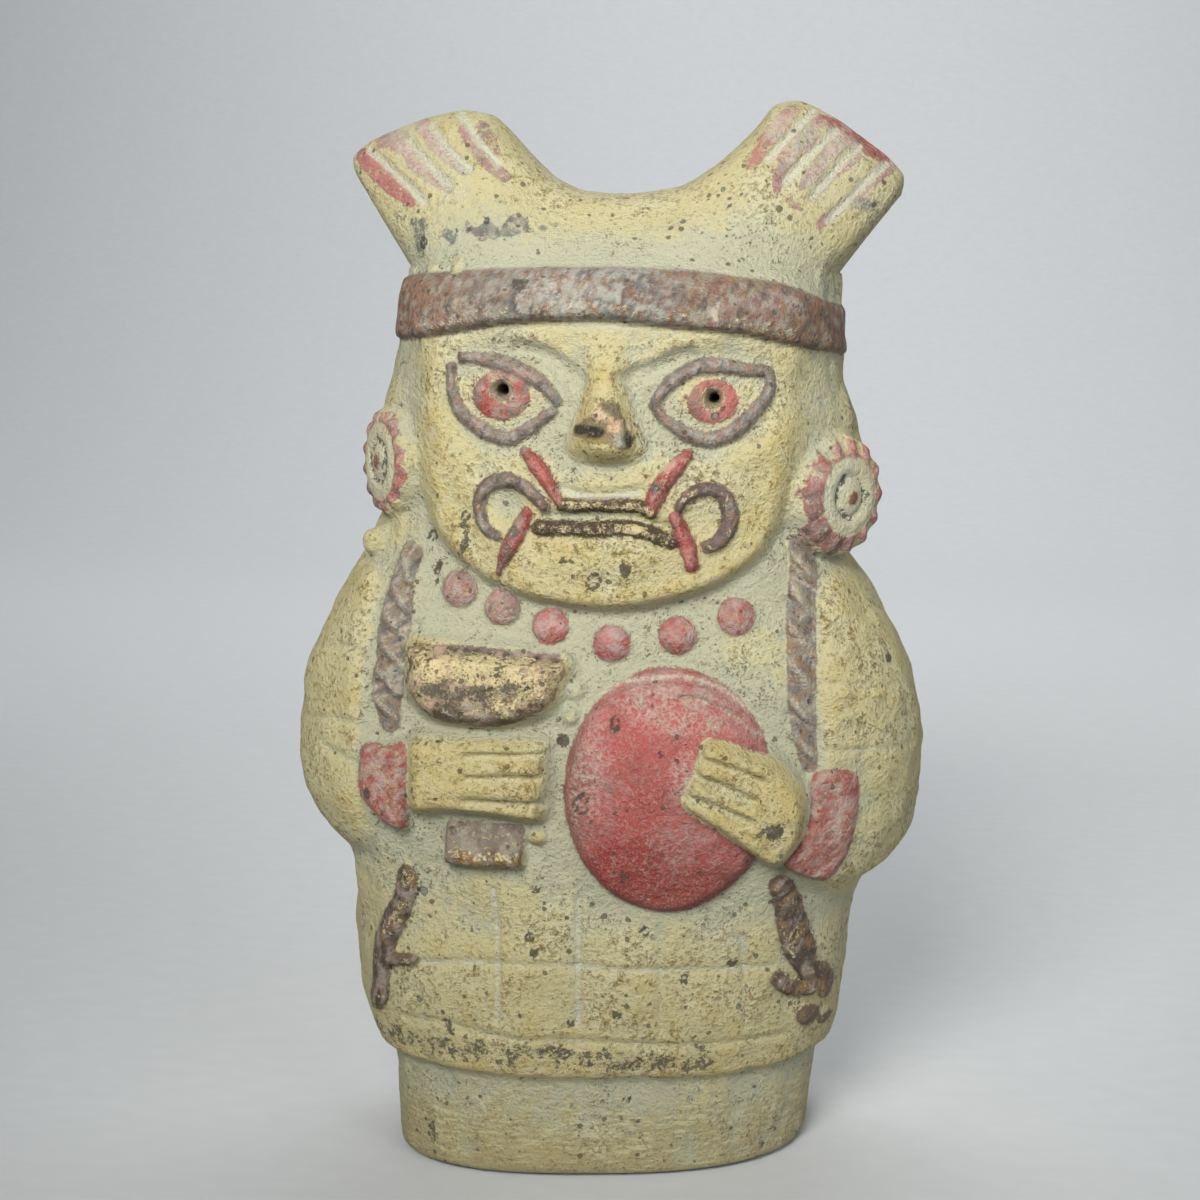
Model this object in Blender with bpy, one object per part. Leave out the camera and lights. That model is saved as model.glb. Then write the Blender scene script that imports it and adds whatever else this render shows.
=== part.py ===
"""A clay rattle in the form of a standing fanged figure.

The figure wears a crest of two fans, a headband, ear discs and a bead collar, and holds a cup and a round
shield. It was pressed in a two-part mould, joined at the sides and fired, so it is one hollow piece of
clay. The pupils are pierced through the wall. The underside is flat.
Metres, +Z up, facing -Y, with the origin in the middle of the underside.
"""

import bmesh
import bpy
import numpy as np
from mathutils import Matrix, Vector

# Driving sizes, in metres.
HEIGHT = 0.151
WALL = 0.0045
PUPIL_BORE = 0.0025
FOOT_ROUNDING = 0.0020

# The form is laid out on a grid of 151 units to the height. All that follows is in those units.
GRID_HEIGHT = 151.0
UNIT = HEIGHT / GRID_HEIGHT
BAND_TOP = 127.4
SQUARENESS = 2.6
SECTION = (36.0, 24.0)
FOOT_SKEW = 0.14
SKEW_FADE = (55.0, 90.0)
FRONT_FADE = (0.1, 0.5)
CREST_EDGE = 7.0
CREST_ROUNDING = 0.22
CREST_FULLNESS = 0.4
ROUNDNESS = 0.6

# Fineness of the modelled surface, and what is kept of it.
BELOW_FOOT = 1.5
ROWS = 200
CREST_ROWS = 46
CREST_CROWDING = 1.4
COLUMNS = 150
BACK_STEP = 3
TRIANGLES = 8500
CAVITY_ROWS = 20
CAVITY_CREST_ROWS = 4
CAVITY_COLUMNS = 13
CAVITY_TOP = 0.42
BORE_SIDES = 16

# Half-widths at the viewer's left and right, from the foot up: foot, hem, belly, elbows, arms, neck, head.
WIDTHS = (
    (0, 29.2, 31.0),
    (12, 29.6, 32.2),
    (16, 30.2, 32.6),
    (20, 31.9, 33.6),
    (27, 33.6, 34.4),
    (36, 34.3, 35.7),
    (41, 35.2, 37.9),
    (45, 36.4, 42.4),
    (50, 40.9, 45.2),
    (55, 43.2, 45.9),
    (61, 43.8, 46.2),
    (69, 43.2, 44.9),
    (78, 40.0, 40.9),
    (84, 36.7, 37.4),
    (89, 34.1, 34.2),
    (94, 32.4, 33.6),
    (102, 33.0, 35.8),
    (107, 32.6, 35.0),
    (113, 31.0, 33.1),
    (121, 29.5, 32.4),
    (BAND_TOP, 28.7, 32.0),
)

# Half-depths in front and behind, from the foot up.
DEPTHS = (
    (0, 21.6, 19.5),
    (12, 21.2, 20.0),
    (20, 22.0, 20.6),
    (36, 24.0, 22.2),
    (54, 25.6, 23.5),
    (69, 24.8, 23.0),
    (84, 22.4, 21.5),
    (94, 21.6, 20.5),
    (107, 22.4, 21.5),
    (121, 22.0, 20.5),
    (BAND_TOP, 19.5, 18.0),
)

# The top edge of the crest from left to right: share of the width, then place across and height.
CREST_TOP = (
    (-1.00, -37.4, 140.9),
    (-0.97, -37.8, 142.6),
    (-0.93, -36.2, 144.5),
    (-0.87, -32.6, 146.4),
    (-0.76, -26.8, 148.5),
    (-0.64, -21.3, 149.5),
    (-0.57, -17.8, 149.0),
    (-0.52, -15.6, 147.4),
    (-0.44, -12.6, 144.3),
    (-0.32, -8.2, 140.2),
    (-0.18, -3.7, 138.4),
    (0.02, 1.5, 138.1),
    (0.20, 8.7, 139.0),
    (0.34, 14.0, 141.9),
    (0.48, 19.6, 147.0),
    (0.56, 22.8, 150.6),
    (0.62, 25.4, 151.0),
    (0.72, 29.9, 149.2),
    (0.83, 34.9, 145.9),
    (0.92, 39.2, 142.5),
    (0.97, 40.7, 140.3),
    (1.00, 40.3, 138.3),
)

# Half-depths of the crest from the headband, 0, to its top edge, 1.
CREST_DEPTHS = ((0.0, 19.0, 18.0), (0.3, 15.6, 14.6), (0.6, 11.6, 11.0), (1.0, CREST_EDGE, CREST_EDGE))


def along(place, knots, values):
    """A smooth curve through the values at the knots, with no overshoot."""
    knots = np.asarray(knots, float)
    values = np.asarray(values, float)
    spans = np.diff(knots)
    slopes = np.diff(values) / spans
    before, after = slopes[:-1], slopes[1:]
    turning = before * after <= 0
    total = np.where(turning, 1, before + after)
    inner = np.where(turning, 0, 2 * before * after / total)
    tangents = np.concatenate([slopes[:1], inner, slopes[-1:]])
    index = np.clip(np.searchsorted(knots, place, side="right") - 1, 0, len(spans) - 1)
    span = spans[index]
    t = np.clip((place - knots[index]) / span, 0, 1)
    rest = 1 - t
    start = values[index] * (1 + 2 * t) + tangents[index] * span * t
    end = values[index + 1] * (1 + 2 * rest) - tangents[index + 1] * span * rest
    return start * rest**2 + end * t**2


def column(table, number):
    return [row[number] for row in table]


def ramp(inside, width):
    """0 outside an edge and 1 inside it, eased over the width."""
    t = np.clip(inside / width + 0.5, 0, 1)
    return t * t * (3 - 2 * t)


def curve(points, pieces=5, closed=False):
    """The points of a smooth curve through the given ones."""
    points = np.asarray(points, float)
    if closed:
        padded = np.vstack([points[-1:], points, points[:2]])
    else:
        padded = np.vstack([2 * points[0] - points[1], points, 2 * points[-1] - points[-2]])
    made = []
    for before, start, end, after in zip(padded, padded[1:], padded[2:], padded[3:]):
        for t in np.arange(pieces) / pieces:
            bend = 2 * start + (end - before) * t
            bend += (2 * before - 5 * start + 4 * end - after) * t**2
            bend += (3 * start - before - 3 * end + after) * t**3
            made.append(bend / 2)
    made.append(points[0] if closed else points[-1])
    return np.array(made)


def to_path(x, z, path):
    """Distance to a path, how far along it the nearest place is, and the signed distance to its side."""
    nearest = np.full(x.shape, 1e9)
    share = np.zeros(x.shape)
    side = np.zeros(x.shape)
    lengths = np.hypot(*np.diff(path, axis=0).T)
    starts = np.concatenate([[0], np.cumsum(lengths)])
    for (ax, az), (bx, bz), length, start in zip(path, path[1:], lengths, starts):
        ux, uz = (bx - ax) / length, (bz - az) / length
        t = np.clip((x - ax) * ux + (z - az) * uz, 0, length)
        gap = np.hypot(x - ax - t * ux, z - az - t * uz)
        closer = gap < nearest
        nearest = np.where(closer, gap, nearest)
        share = np.where(closer, (start + t) / starts[-1], share)
        side = np.where(closer, (x - ax) * uz - (z - az) * ux, side)
    return nearest, share, side


def inside_of(x, z, outline):
    """Distance to a closed outline, positive inside it."""
    gap = to_path(x, z, outline)[0]
    odd = np.zeros(x.shape, bool)
    for (ax, az), (bx, bz) in zip(outline, outline[1:]):
        if az != bz:
            crossing = (az > z) != (bz > z)
            odd ^= crossing & (x < ax + (z - az) * (bx - ax) / (bz - az))
    return np.where(odd, gap, -gap)


def roll(x, z, points, width, rise, end_width=None):
    """A round roll of clay laid along a path, with its width tapering to end_width."""
    gap, share, _ = to_path(x, z, curve(points))
    half = (width + (width if end_width is None else end_width) * share - width * share) / 2
    return rise * np.clip(1 - (gap / half) ** 2, 0, 1) ** ROUNDNESS


def groove(x, z, points, width, depth):
    """A line drawn in the wet clay with a round point."""
    gap = to_path(x, z, curve(points))[0]
    return -depth * np.clip(1 - (2 * gap / width) ** 2, 0, 1)


def pad(x, z, points, rise, slope):
    """A flat raised shape with rounded edges."""
    return rise * ramp(inside_of(x, z, curve(points, closed=True)), slope)


def knob(x, z, middle, radii, rise, fullness=ROUNDNESS):
    """A round or oval boss, or a hollow where the rise is negative: low fullness gives steep sides."""
    share = ((x - middle[0]) / radii[0]) ** 2 + ((z - middle[1]) / radii[1]) ** 2
    return rise * np.clip(1 - share, 0, 1) ** fullness


def twist(x, z, points, width, rise, turns):
    """A twisted braid along a path: a roll notched on the slant."""
    gap, share, side = to_path(x, z, curve(points))
    body = np.clip(1 - (2 * gap / width) ** 2, 0, 1) ** ROUNDNESS
    wave = np.cos(2 * np.pi * (share * turns + BRAID_SLANT * side / width))
    return rise * body * (1 - BRAID_NOTCH * (1 + wave**3) / 2)


# The face, from the headband to the chin, which stands out over the collar, and the swell of mouth and chin.
FACE = (
    (-22.5, 124.0),
    (-23.4, 110.0),
    (-23.4, 98.5),
    (-20.8, 90.6),
    (-12.2, 84.4),
    (1.6, 82.0),
    (14.8, 84.6),
    (22.4, 90.0),
    (26.4, 98.5),
    (27.4, 110.0),
    (26.0, 124.0),
)
FACE_RISE = 3.2
FACE_SLOPE = 2.4
FACE_SWELLS = (
    ((1.8, 95.0), (20.0, 9.5), 1.6, 1.0),
    ((1.6, 87.4), (16.0, 6.5), 1.0, 1.0),
)

# The eyes: a sunk socket, the ball of the eye, the raised iris and a rolled rim above and below.
EYES = ((-12.2, 110.2), (16.0, 109.8))
SOCKET = ((10.5, 8.4), -1.7, 1.0)
EYEBALL = ((7.6, 5.2), 1.4, 0.8)
PUPILS = ((-12.1, 110.8), (15.9, 110.2))
IRIS = ((3.6, 3.0), 0.5, 0.4)
UPPER_LIDS = (
    ((-18.2, 114.9), (-14.5, 114.8), (-11.4, 114.1), (-8.7, 113.1), (-6.4, 111.5), (-4.7, 109.6)),
    ((8.1, 109.3), (9.5, 111.4), (11.5, 113.1), (13.9, 114.3), (17.2, 114.5), (20.2, 114.0), (22.9, 113.8)),
)
LOWER_LIDS = (
    ((-19.4, 113.8), (-19.0, 110.3), (-16.9, 106.7), (-11.8, 104.5), (-8.4, 105.8), (-5.0, 108.2)),
    ((8.3, 109.0), (9.8, 107.2), (12.9, 105.3), (15.8, 104.8), (18.8, 106.0), (21.8, 109.1), (23.3, 112.4)),
)
LID_WIDTH = 2.1
LID_RISE = 1.4
BROW_CREASES = (
    ((-1.7, 112.3), (-3.7, 113.8), (-6.2, 115.2), (-9.8, 116.2)),
    ((4.0, 112.4), (6.2, 113.2), (9.2, 114.5), (12.6, 115.8)),
)
BROW_WIDTH = 3.0
BROW_DEPTH = 1.1

# The nose: height up the face, half-width, rise. Its tip is broken off flat.
NOSE_MIDDLE = 1.9
NOSE = (
    (101.2, 3.4, 0.0),
    (102.3, 4.6, 2.6),
    (103.7, 5.1, 4.8),
    (105.4, 4.4, 5.7),
    (107.2, 3.5, 5.7),
    (109.8, 2.6, 4.3),
    (112.3, 2.3, 2.8),
    (119.5, 2.8, 0.0),
)
NOSE_FULLNESS = 0.8
NOSE_BREAK = 5.2

# The mouth: two lips, a scroll at each corner, and four fangs that cross them.
UPPER_LIP = ((-3.6, 95.9), (0.1, 96.1), (4.7, 96.1), (8.0, 95.2))
LOWER_LIP = ((-6.8, 92.8), (1.5, 92.9), (6.0, 93.0), (11.0, 91.4))
LIP_WIDTH = 1.8
LIP_RISE = 1.0
MOUTH_LINES = (
    ((-3.9, 97.9), (-1.4, 97.3), (3.9, 97.4), (6.6, 97.9)),
    ((-6.0, 94.4), (1.4, 94.6), (5.3, 94.6), (10.2, 93.2)),
)
MOUTH_LINE_WIDTH = 1.7
MOUTH_LINE_DEPTH = 0.7
SCROLLS = (
    ((-6.1, 95.7), (-8.5, 97.8), (-12.0, 98.9), (-14.6, 97.3), (-15.2, 95.1), (-14.5, 92.8), (-12.4, 91.4)),
    ((11.8, 95.9), (13.8, 97.9), (16.4, 98.1), (18.2, 95.9), (18.3, 93.6), (17.2, 91.5), (15.8, 90.7)),
)
SCROLL_WIDTH = 2.2
SCROLL_RISE = 1.3
SCROLL_HOLLOW = ((4.0, 4.0), -0.9, 1.0)
FANGS = (
    ((-8.9, 102.9), (-5.9, 99.4), (-3.8, 95.6)),
    ((12.7, 102.7), (9.9, 99.4), (8.2, 95.4)),
    ((-8.5, 94.7), (-10.2, 91.0), (-12.2, 86.6)),
    ((11.2, 94.6), (12.8, 91.4), (13.6, 88.2)),
)
FANG_WIDTH = 2.4
FANG_TIP = 1.6
FANG_RISE = 1.5

# The bead collar, and the braids that hang beside the chest.
BEADS = ((-18.2, 83.7), (-12.0, 81.6), (-5.4, 79.2), (3.0, 77.2), (11.8, 78.4), (19.5, 81.0))
BEAD_RADIUS = 2.6
BEAD_RISE = 1.6
BRAIDS = (
    ((-25.6, 88.0), (-26.5, 84.0), (-27.2, 78.4), (-27.6, 71.7), (-27.6, 65.4)),
    ((27.2, 93.0), (28.0, 87.0), (28.2, 78.5), (28.7, 69.0), (29.8, 61.5)),
)
BRAID_WIDTH = 4.4
BRAID_RISE = 1.6
BRAID_TURNS = 4
BRAID_SLANT = 0.55
BRAID_NOTCH = 0.44

# The sleeved arms and their cuffs, with the lines drawn across the sleeves.
LEFT_ARM = (
    (-56.0, 90.0),
    (-33.5, 86.0),
    (-31.6, 76.0),
    (-31.6, 65.0),
    (-31.0, 50.0),
    (-36.5, 45.0),
    (-56.0, 42.0),
)
RIGHT_ARM = (
    (56.0, 90.0),
    (32.6, 86.0),
    (31.0, 76.0),
    (31.0, 62.0),
    (27.0, 49.0),
    (31.0, 43.4),
    (38.0, 39.0),
    (56.0, 36.0),
)
ARM_RISE = 1.8
ARM_SLOPE = 4.0
SLEEVE_LINES = (
    ((-42.0, 73.2), (-36.0, 74.6), (-32.4, 74.6)),
    ((-40.6, 64.2), (-36.5, 64.8), (-31.8, 64.4)),
    ((31.4, 72.1), (42.4, 70.5)),
    ((32.6, 62.9), (44.0, 62.2)),
)
LEFT_CUFF = ((-31.2, 61.7), (-24.6, 62.9), (-24.4, 56.0), (-24.8, 51.2), (-28.8, 52.0), (-31.5, 56.0))
RIGHT_CUFF = ((30.2, 59.6), (36.4, 59.4), (36.6, 53.0), (32.6, 44.0), (26.9, 47.0), (30.0, 53.0))
CUFF_RISE = 3.0
CUFF_SLOPE = 1.8
LINE_WIDTH = 1.3
LINE_DEPTH = 0.5

# The cup and the hand under it, on the viewer's left, with the block below them.
CUP = (
    (-23.8, 76.4),
    (-24.3, 71.4),
    (-22.0, 67.5),
    (-18.6, 66.3),
    (-11.5, 66.2),
    (-6.4, 68.2),
    (-3.6, 72.1),
    (-3.0, 75.2),
    (-12.0, 76.2),
)
CUP_RISE = 5.4
CUP_SLOPE = 4.2
CUP_MOUTH = ((-20.5, 76.2), (-12.0, 75.8), (-4.2, 75.2))
CUP_MOUTH_WIDTH = 1.8
CUP_MOUTH_DEPTH = 1.2
LEFT_HAND = (
    (-24.2, 64.0),
    (-14.0, 64.8),
    (-6.0, 64.6),
    (-5.2, 59.4),
    (-6.2, 53.2),
    (-14.0, 53.6),
    (-24.0, 53.4),
    (-24.4, 58.8),
)
LEFT_GROOVES = (
    ((-15.6, 62.1), (-6.3, 62.5)),
    ((-15.5, 59.1), (-6.3, 59.5)),
    ((-15.7, 56.0), (-6.0, 55.9)),
)
LEFT_HAND_RISE = 4.3
RIGHT_HAND_RISE = 6.2
HAND_SLOPE = 3.0
FINGER_WIDTH = 1.5
FINGER_DEPTH = 0.9
BLOCK_SIDES = (-19.4, -8.4)
BLOCK_HEIGHTS = (46.6, 48.8, 53.0)
BLOCK_RISE = 3.2
BLOCK_EDGE = 1.0
STUB = ((-6.4, 51.0), (1.7, 1.3), 1.6)

# The round shield and the hand that grips it, on the viewer's right. Its dome stands on a rounded edge.
SHIELD = (11.1, 57.4)
SHIELD_RADII = (14.1, 16.9)
SHIELD_EDGE = 2.2
SHIELD_DOME = 2.0
EDGE_SHARE = 0.16
SHIELD_LINES = (
    ((1.7, 70.1), (4.4, 71.6), (8.4, 72.5), (12.4, 72.8), (15.7, 72.1), (18.4, 70.8), (21.6, 68.1)),
    ((13.0, 70.6), (17.8, 69.0), (21.5, 66.1), (23.2, 64.8)),
)
RIGHT_HAND = (
    (15.8, 65.4),
    (21.8, 63.9),
    (28.6, 60.4),
    (29.0, 53.0),
    (25.8, 47.6),
    (20.0, 51.4),
    (13.2, 56.8),
    (14.2, 61.4),
)
RIGHT_GROOVES = (
    ((15.6, 62.9), (20.0, 61.4), (23.6, 59.8)),
    ((14.8, 60.7), (18.9, 59.0), (22.6, 57.1)),
    ((13.8, 57.8), (17.6, 56.4), (22.0, 54.4)),
)

# The ends of the belt, shaped as heads of snakes with forked tongues, and the checked tunic.
BELT_ENDS = (
    ((-24.8, 44.4), (-25.3, 39.6), (-26.7, 35.9), (-27.9, 31.4), (-28.0, 28.0), (-29.0, 24.2)),
    ((-27.4, 31.0), (-23.6, 32.0)),
    ((26.6, 43.0), (27.6, 38.0), (28.8, 32.0), (29.6, 29.0)),
    ((25.6, 29.2), (27.6, 27.4), (30.4, 27.0)),
    ((31.0, 29.5), (32.0, 26.8), (31.4, 24.4)),
)
BELT_WIDTH = 3.3
BELT_RISE = 1.9
BELT_KNOB = ((29.6, 22.4), (1.7, 1.8), 1.6)
TUNIC_LINES = (
    ((-12.5, 42.9), (-11.8, 34.4), (-11.7, 24.2)),
    ((-0.9, 42.0), (-0.9, 34.8), (-0.9, 23.4)),
    ((10.0, 38.0), (10.1, 32.0), (10.3, 22.6)),
    ((21.0, 36.0), (21.1, 31.0), (21.4, 22.6)),
    ((-23.0, 31.5), (-12.7, 32.4), (-1.2, 32.2), (8.9, 31.7), (18.0, 31.5), (25.6, 31.6)),
)
TUNIC_LINE_WIDTH = 1.4
TUNIC_LINE_DEPTH = 0.6
HEM_LINE = ((-30.0, 22.4), (-20.0, 22.9), (-11.2, 21.5), (-0.5, 21.0), (12.8, 20.5), (28.0, 20.4))
HEM_LINE_WIDTH = 1.4
HEM_LINE_DEPTH = 0.7
HEM_RISE = 1.9
HEM_SLOPE = 1.6
HEM_FADE = (37.5, 25.0)
HEM = ((-34.0, 17.4), (-25.0, 16.2), (-16.0, 15.8), (0.0, 15.2), (23.0, 15.2), (30.0, 15.6), (35.0, 14.6))

# The rolled headband, its lower and upper edges from left to right.
BAND_EDGES = (
    (-34.0, 117.0, 125.4),
    (-24.0, 117.6, 126.2),
    (-10.0, 119.7, 126.8),
    (1.0, 120.2, 127.0),
    (11.0, 119.3, 126.8),
    (18.0, 118.8, 126.1),
    (24.0, 117.7, 125.3),
    (29.0, 116.8, 123.7),
    (34.0, 115.8, 122.4),
)
BAND_RISE = 1.6
BAND_SWELL = 0.5

# Flutes in the fans of the crest.
FLUTES = (
    ((-33.6, 143.4), (-27.2, 136.6)),
    ((-28.4, 145.6), (-21.8, 138.0)),
    ((-25.2, 147.2), (-18.2, 139.8)),
    ((-20.8, 148.6), (-15.8, 142.2)),
    ((27.6, 149.2), (20.4, 140.8)),
    ((30.9, 147.2), (24.0, 139.2)),
    ((34.6, 145.0), (28.2, 137.0)),
    ((37.6, 142.4), (31.4, 135.6)),
)
FLUTE_WIDTH = 1.8
FLUTE_DEPTH = 0.8

# The ear discs: middle across, forward and up, the way they face in degrees from the front, and radius.
EAR_DISCS = ((-29.4, -12.0, 100.2, -56.0, 7.6), (32.7, -12.2, 96.9, 49.0, 8.4))
EAR_RISE = 2.4
EAR_SLOPE = ((5.4, 8.2), 1.5)
EAR_PETALS = 13
PETAL_RISE = 0.35
EAR_RINGS = ((5.5, 0.45, 0.45), (3.2, 0.5, 0.35))
EAR_BOSS = (1.4, 0.5)
EAR_EDGE = 1.2
EAR_DROP = (-31.6, -12.0, 88.8, -52.0, 2.2)


def hem_height(x):
    return along(x, column(HEM, 0), column(HEM, 1))


def band_share(x, z):
    """1 on the headband and 0 off it."""
    low = along(x, column(BAND_EDGES, 0), column(BAND_EDGES, 1))
    high = along(x, column(BAND_EDGES, 0), column(BAND_EDGES, 2))
    middle, half = (low + high) / 2, (high - low) / 2
    return np.clip(1 - ((z - middle) / half) ** 4, 0, 1) ** 0.5


def face_relief(x, z):
    level = pad(x, z, FACE, FACE_RISE, FACE_SLOPE)
    for form in FACE_SWELLS:
        level += knob(x, z, *form)
    for middle, pupil, upper, lower in zip(EYES, PUPILS, UPPER_LIDS, LOWER_LIDS):
        level += knob(x, z, middle, *SOCKET) + knob(x, z, middle, *EYEBALL) + knob(x, z, pupil, *IRIS)
        level += np.maximum(roll(x, z, upper, LID_WIDTH, LID_RISE), roll(x, z, lower, LID_WIDTH, LID_RISE))
    for points in BROW_CREASES:
        level += groove(x, z, points, BROW_WIDTH, BROW_DEPTH)
    half = along(z, column(NOSE, 0), column(NOSE, 1))
    rise = along(z, column(NOSE, 0), column(NOSE, 2))
    nose = rise * np.clip(1 - ((x - NOSE_MIDDLE) / half) ** 2, 0, 1) ** NOSE_FULLNESS
    return level + np.minimum(nose, NOSE_BREAK)


def mouth_relief(x, z):
    level = np.zeros_like(x)
    for points in MOUTH_LINES:
        level += groove(x, z, points, MOUTH_LINE_WIDTH, MOUTH_LINE_DEPTH)
    bands = np.maximum(
        roll(x, z, UPPER_LIP, LIP_WIDTH, LIP_RISE),
        roll(x, z, LOWER_LIP, LIP_WIDTH, LIP_RISE),
    )
    for points in SCROLLS:
        level += knob(x, z, np.mean(points, axis=0), *SCROLL_HOLLOW)
        bands = np.maximum(bands, roll(x, z, points, SCROLL_WIDTH, SCROLL_RISE))
    for points in FANGS:
        bands = np.maximum(bands, roll(x, z, points, FANG_WIDTH, FANG_RISE, FANG_TIP))
    return level + bands


def shield_relief(x, z):
    across, up = (x - SHIELD[0]) / SHIELD_RADII[0], (z - SHIELD[1]) / SHIELD_RADII[1]
    share = np.clip(1 - across**2 - up**2, 0, 1)
    level = SHIELD_EDGE * np.minimum(1, share / EDGE_SHARE) ** ROUNDNESS + SHIELD_DOME * share
    for points in SHIELD_LINES:
        level += groove(x, z, points, LINE_WIDTH, LINE_DEPTH) * (share > 0)
    return level


def hand_relief(x, z, outline, grooves, rise):
    level = pad(x, z, outline, rise, HAND_SLOPE)
    for points in grooves:
        level += groove(x, z, points, FINGER_WIDTH, FINGER_DEPTH)
    return level


def block_relief(x, z):
    """The small block under the left hand: an upright front, and a top that slopes back to the body."""
    low, edge, high = BLOCK_HEIGHTS
    left, right = BLOCK_SIDES
    slope = np.clip((high - z) / (high - edge), 0, 1)
    inside = np.minimum(z - low, np.minimum(x - left, right - x))
    return BLOCK_RISE * slope * ramp(inside, BLOCK_EDGE)


def arm_relief(x, z):
    """Sleeves, cuffs, hands, the cup and the shield, each over the last."""
    level = np.maximum(pad(x, z, LEFT_ARM, ARM_RISE, ARM_SLOPE), pad(x, z, RIGHT_ARM, ARM_RISE, ARM_SLOPE))
    for points in SLEEVE_LINES:
        level += groove(x, z, points, LINE_WIDTH, LINE_DEPTH)
    for points in (LEFT_CUFF, RIGHT_CUFF):
        level = np.maximum(level, pad(x, z, points, CUFF_RISE, CUFF_SLOPE))
    cup = pad(x, z, CUP, CUP_RISE, CUP_SLOPE)
    cup += groove(x, z, CUP_MOUTH, CUP_MOUTH_WIDTH, CUP_MOUTH_DEPTH)
    forms = (
        shield_relief(x, z),
        hand_relief(x, z, LEFT_HAND, LEFT_GROOVES, LEFT_HAND_RISE),
        hand_relief(x, z, RIGHT_HAND, RIGHT_GROOVES, RIGHT_HAND_RISE),
        cup,
        block_relief(x, z),
        knob(x, z, *STUB),
    )
    for form in forms:
        level = np.maximum(level, form)
    return level


def dress_relief(x, z):
    """Beads, braids and belt ends."""
    level = knob(x, z, *BELT_KNOB)
    for middle in BEADS:
        level = np.maximum(level, knob(x, z, middle, (BEAD_RADIUS, BEAD_RADIUS), BEAD_RISE))
    for points in BRAIDS:
        level = np.maximum(level, twist(x, z, points, BRAID_WIDTH, BRAID_RISE, BRAID_TURNS))
    for points in BELT_ENDS:
        level = np.maximum(level, roll(x, z, points, BELT_WIDTH, BELT_RISE))
    return level


def drawn_lines(x, z):
    """The squares of the tunic, the line over its hem and the flutes of the crest."""
    level = groove(x, z, HEM_LINE, HEM_LINE_WIDTH, HEM_LINE_DEPTH)
    for points in TUNIC_LINES:
        level += groove(x, z, points, TUNIC_LINE_WIDTH, TUNIC_LINE_DEPTH)
    for points in FLUTES:
        level += groove(x, z, points, FLUTE_WIDTH, FLUTE_DEPTH)
    return level


def carving(x, z):
    """How far the front stands out of the plain form at each place."""
    level = face_relief(x, z) + mouth_relief(x, z) + drawn_lines(x, z)
    level += band_share(x, z) * BAND_RISE
    return level + np.maximum(arm_relief(x, z), dress_relief(x, z))


def column_angles(front, step):
    """Angles round a section: the front from left to right, then every step-th of them again on the back."""
    fine = np.linspace(np.pi, 2 * np.pi, 2001)
    x = SECTION[0] * np.sign(np.cos(fine)) * np.abs(np.cos(fine)) ** (2 / SQUARENESS)
    y = SECTION[1] * np.abs(np.sin(fine)) ** (2 / SQUARENESS)
    run = np.concatenate([[0], np.cumsum(np.hypot(np.diff(x), np.diff(y)))])
    ahead = np.interp(np.arange(front + 1) / front * run[-1], run, fine)
    behind = 2 * np.pi - ahead[step:front:step][::-1]
    return np.concatenate([ahead, behind])


def plain_form(heights, crest_shares, angles, inset=0.0):
    """Rows of points round the figure with no carving, drawn in by the inset."""
    u = np.sign(np.cos(angles)) * np.abs(np.cos(angles)) ** (2 / SQUARENESS)
    s = np.sign(np.sin(angles)) * np.abs(np.sin(angles)) ** (2 / SQUARENESS)
    u, s = u[None, :], s[None, :]
    z = heights[:, None] + 0 * u
    left, right = (along(z, column(WIDTHS, 0), column(WIDTHS, side)) - inset for side in (1, 2))
    ahead, behind = (along(z, column(DEPTHS, 0), column(DEPTHS, side)) - inset for side in (1, 2))
    x = np.where(u < 0, left, right) * u
    y = np.where(s < 0, ahead, behind) * s
    y = y + FOOT_SKEW * (1 - ramp(z - SKEW_FADE[0], SKEW_FADE[1])) * x
    body = np.stack([x, y, z], axis=-1)
    t = crest_shares[:, None] + 0 * u
    first, last = WIDTHS[-1][1] - inset, WIDTHS[-1][2] - inset
    low_x = np.where(u < 0, first, last) * u
    top_x = along(u, column(CREST_TOP, 0), column(CREST_TOP, 1)) * (1 - inset / SECTION[0])
    top_z = along(u, column(CREST_TOP, 0), column(CREST_TOP, 2)) - inset
    x = low_x + (top_x - low_x) * t
    z = BAND_TOP + (top_z - BAND_TOP) * t
    ahead, behind = (along(t, column(CREST_DEPTHS, 0), column(CREST_DEPTHS, side)) - inset for side in (1, 2))
    edge = np.sqrt(np.clip(1 - (1 - (1 - t) / CREST_ROUNDING).clip(0, 1) ** 2, 0, 1))
    s = np.sign(s) * np.abs(s) ** (1 - CREST_FULLNESS * t)
    y = np.where(s < 0, ahead, behind) * s * (edge if inset == 0 else 1)
    return np.concatenate([body, np.stack([x, y, z], axis=-1)])


def stamp(points, place, facing, radius, face):
    """Lifts a round form out of the surface, facing the given number of degrees from the front."""
    turn = np.radians(facing)
    normal = np.array([np.sin(turn), -np.cos(turn), 0])
    across = np.array([np.cos(turn), np.sin(turn), 0])
    offset = points - np.array(place)
    a, b, out = offset @ across, offset[..., 2], offset @ normal
    distance = np.hypot(a, b)
    lift = np.clip(face(distance, np.arctan2(b, a)) - out, 0, None)
    share = ramp(radius - distance, EAR_EDGE) * (out > -radius)
    return points + (lift * share)[..., None] * normal


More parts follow.
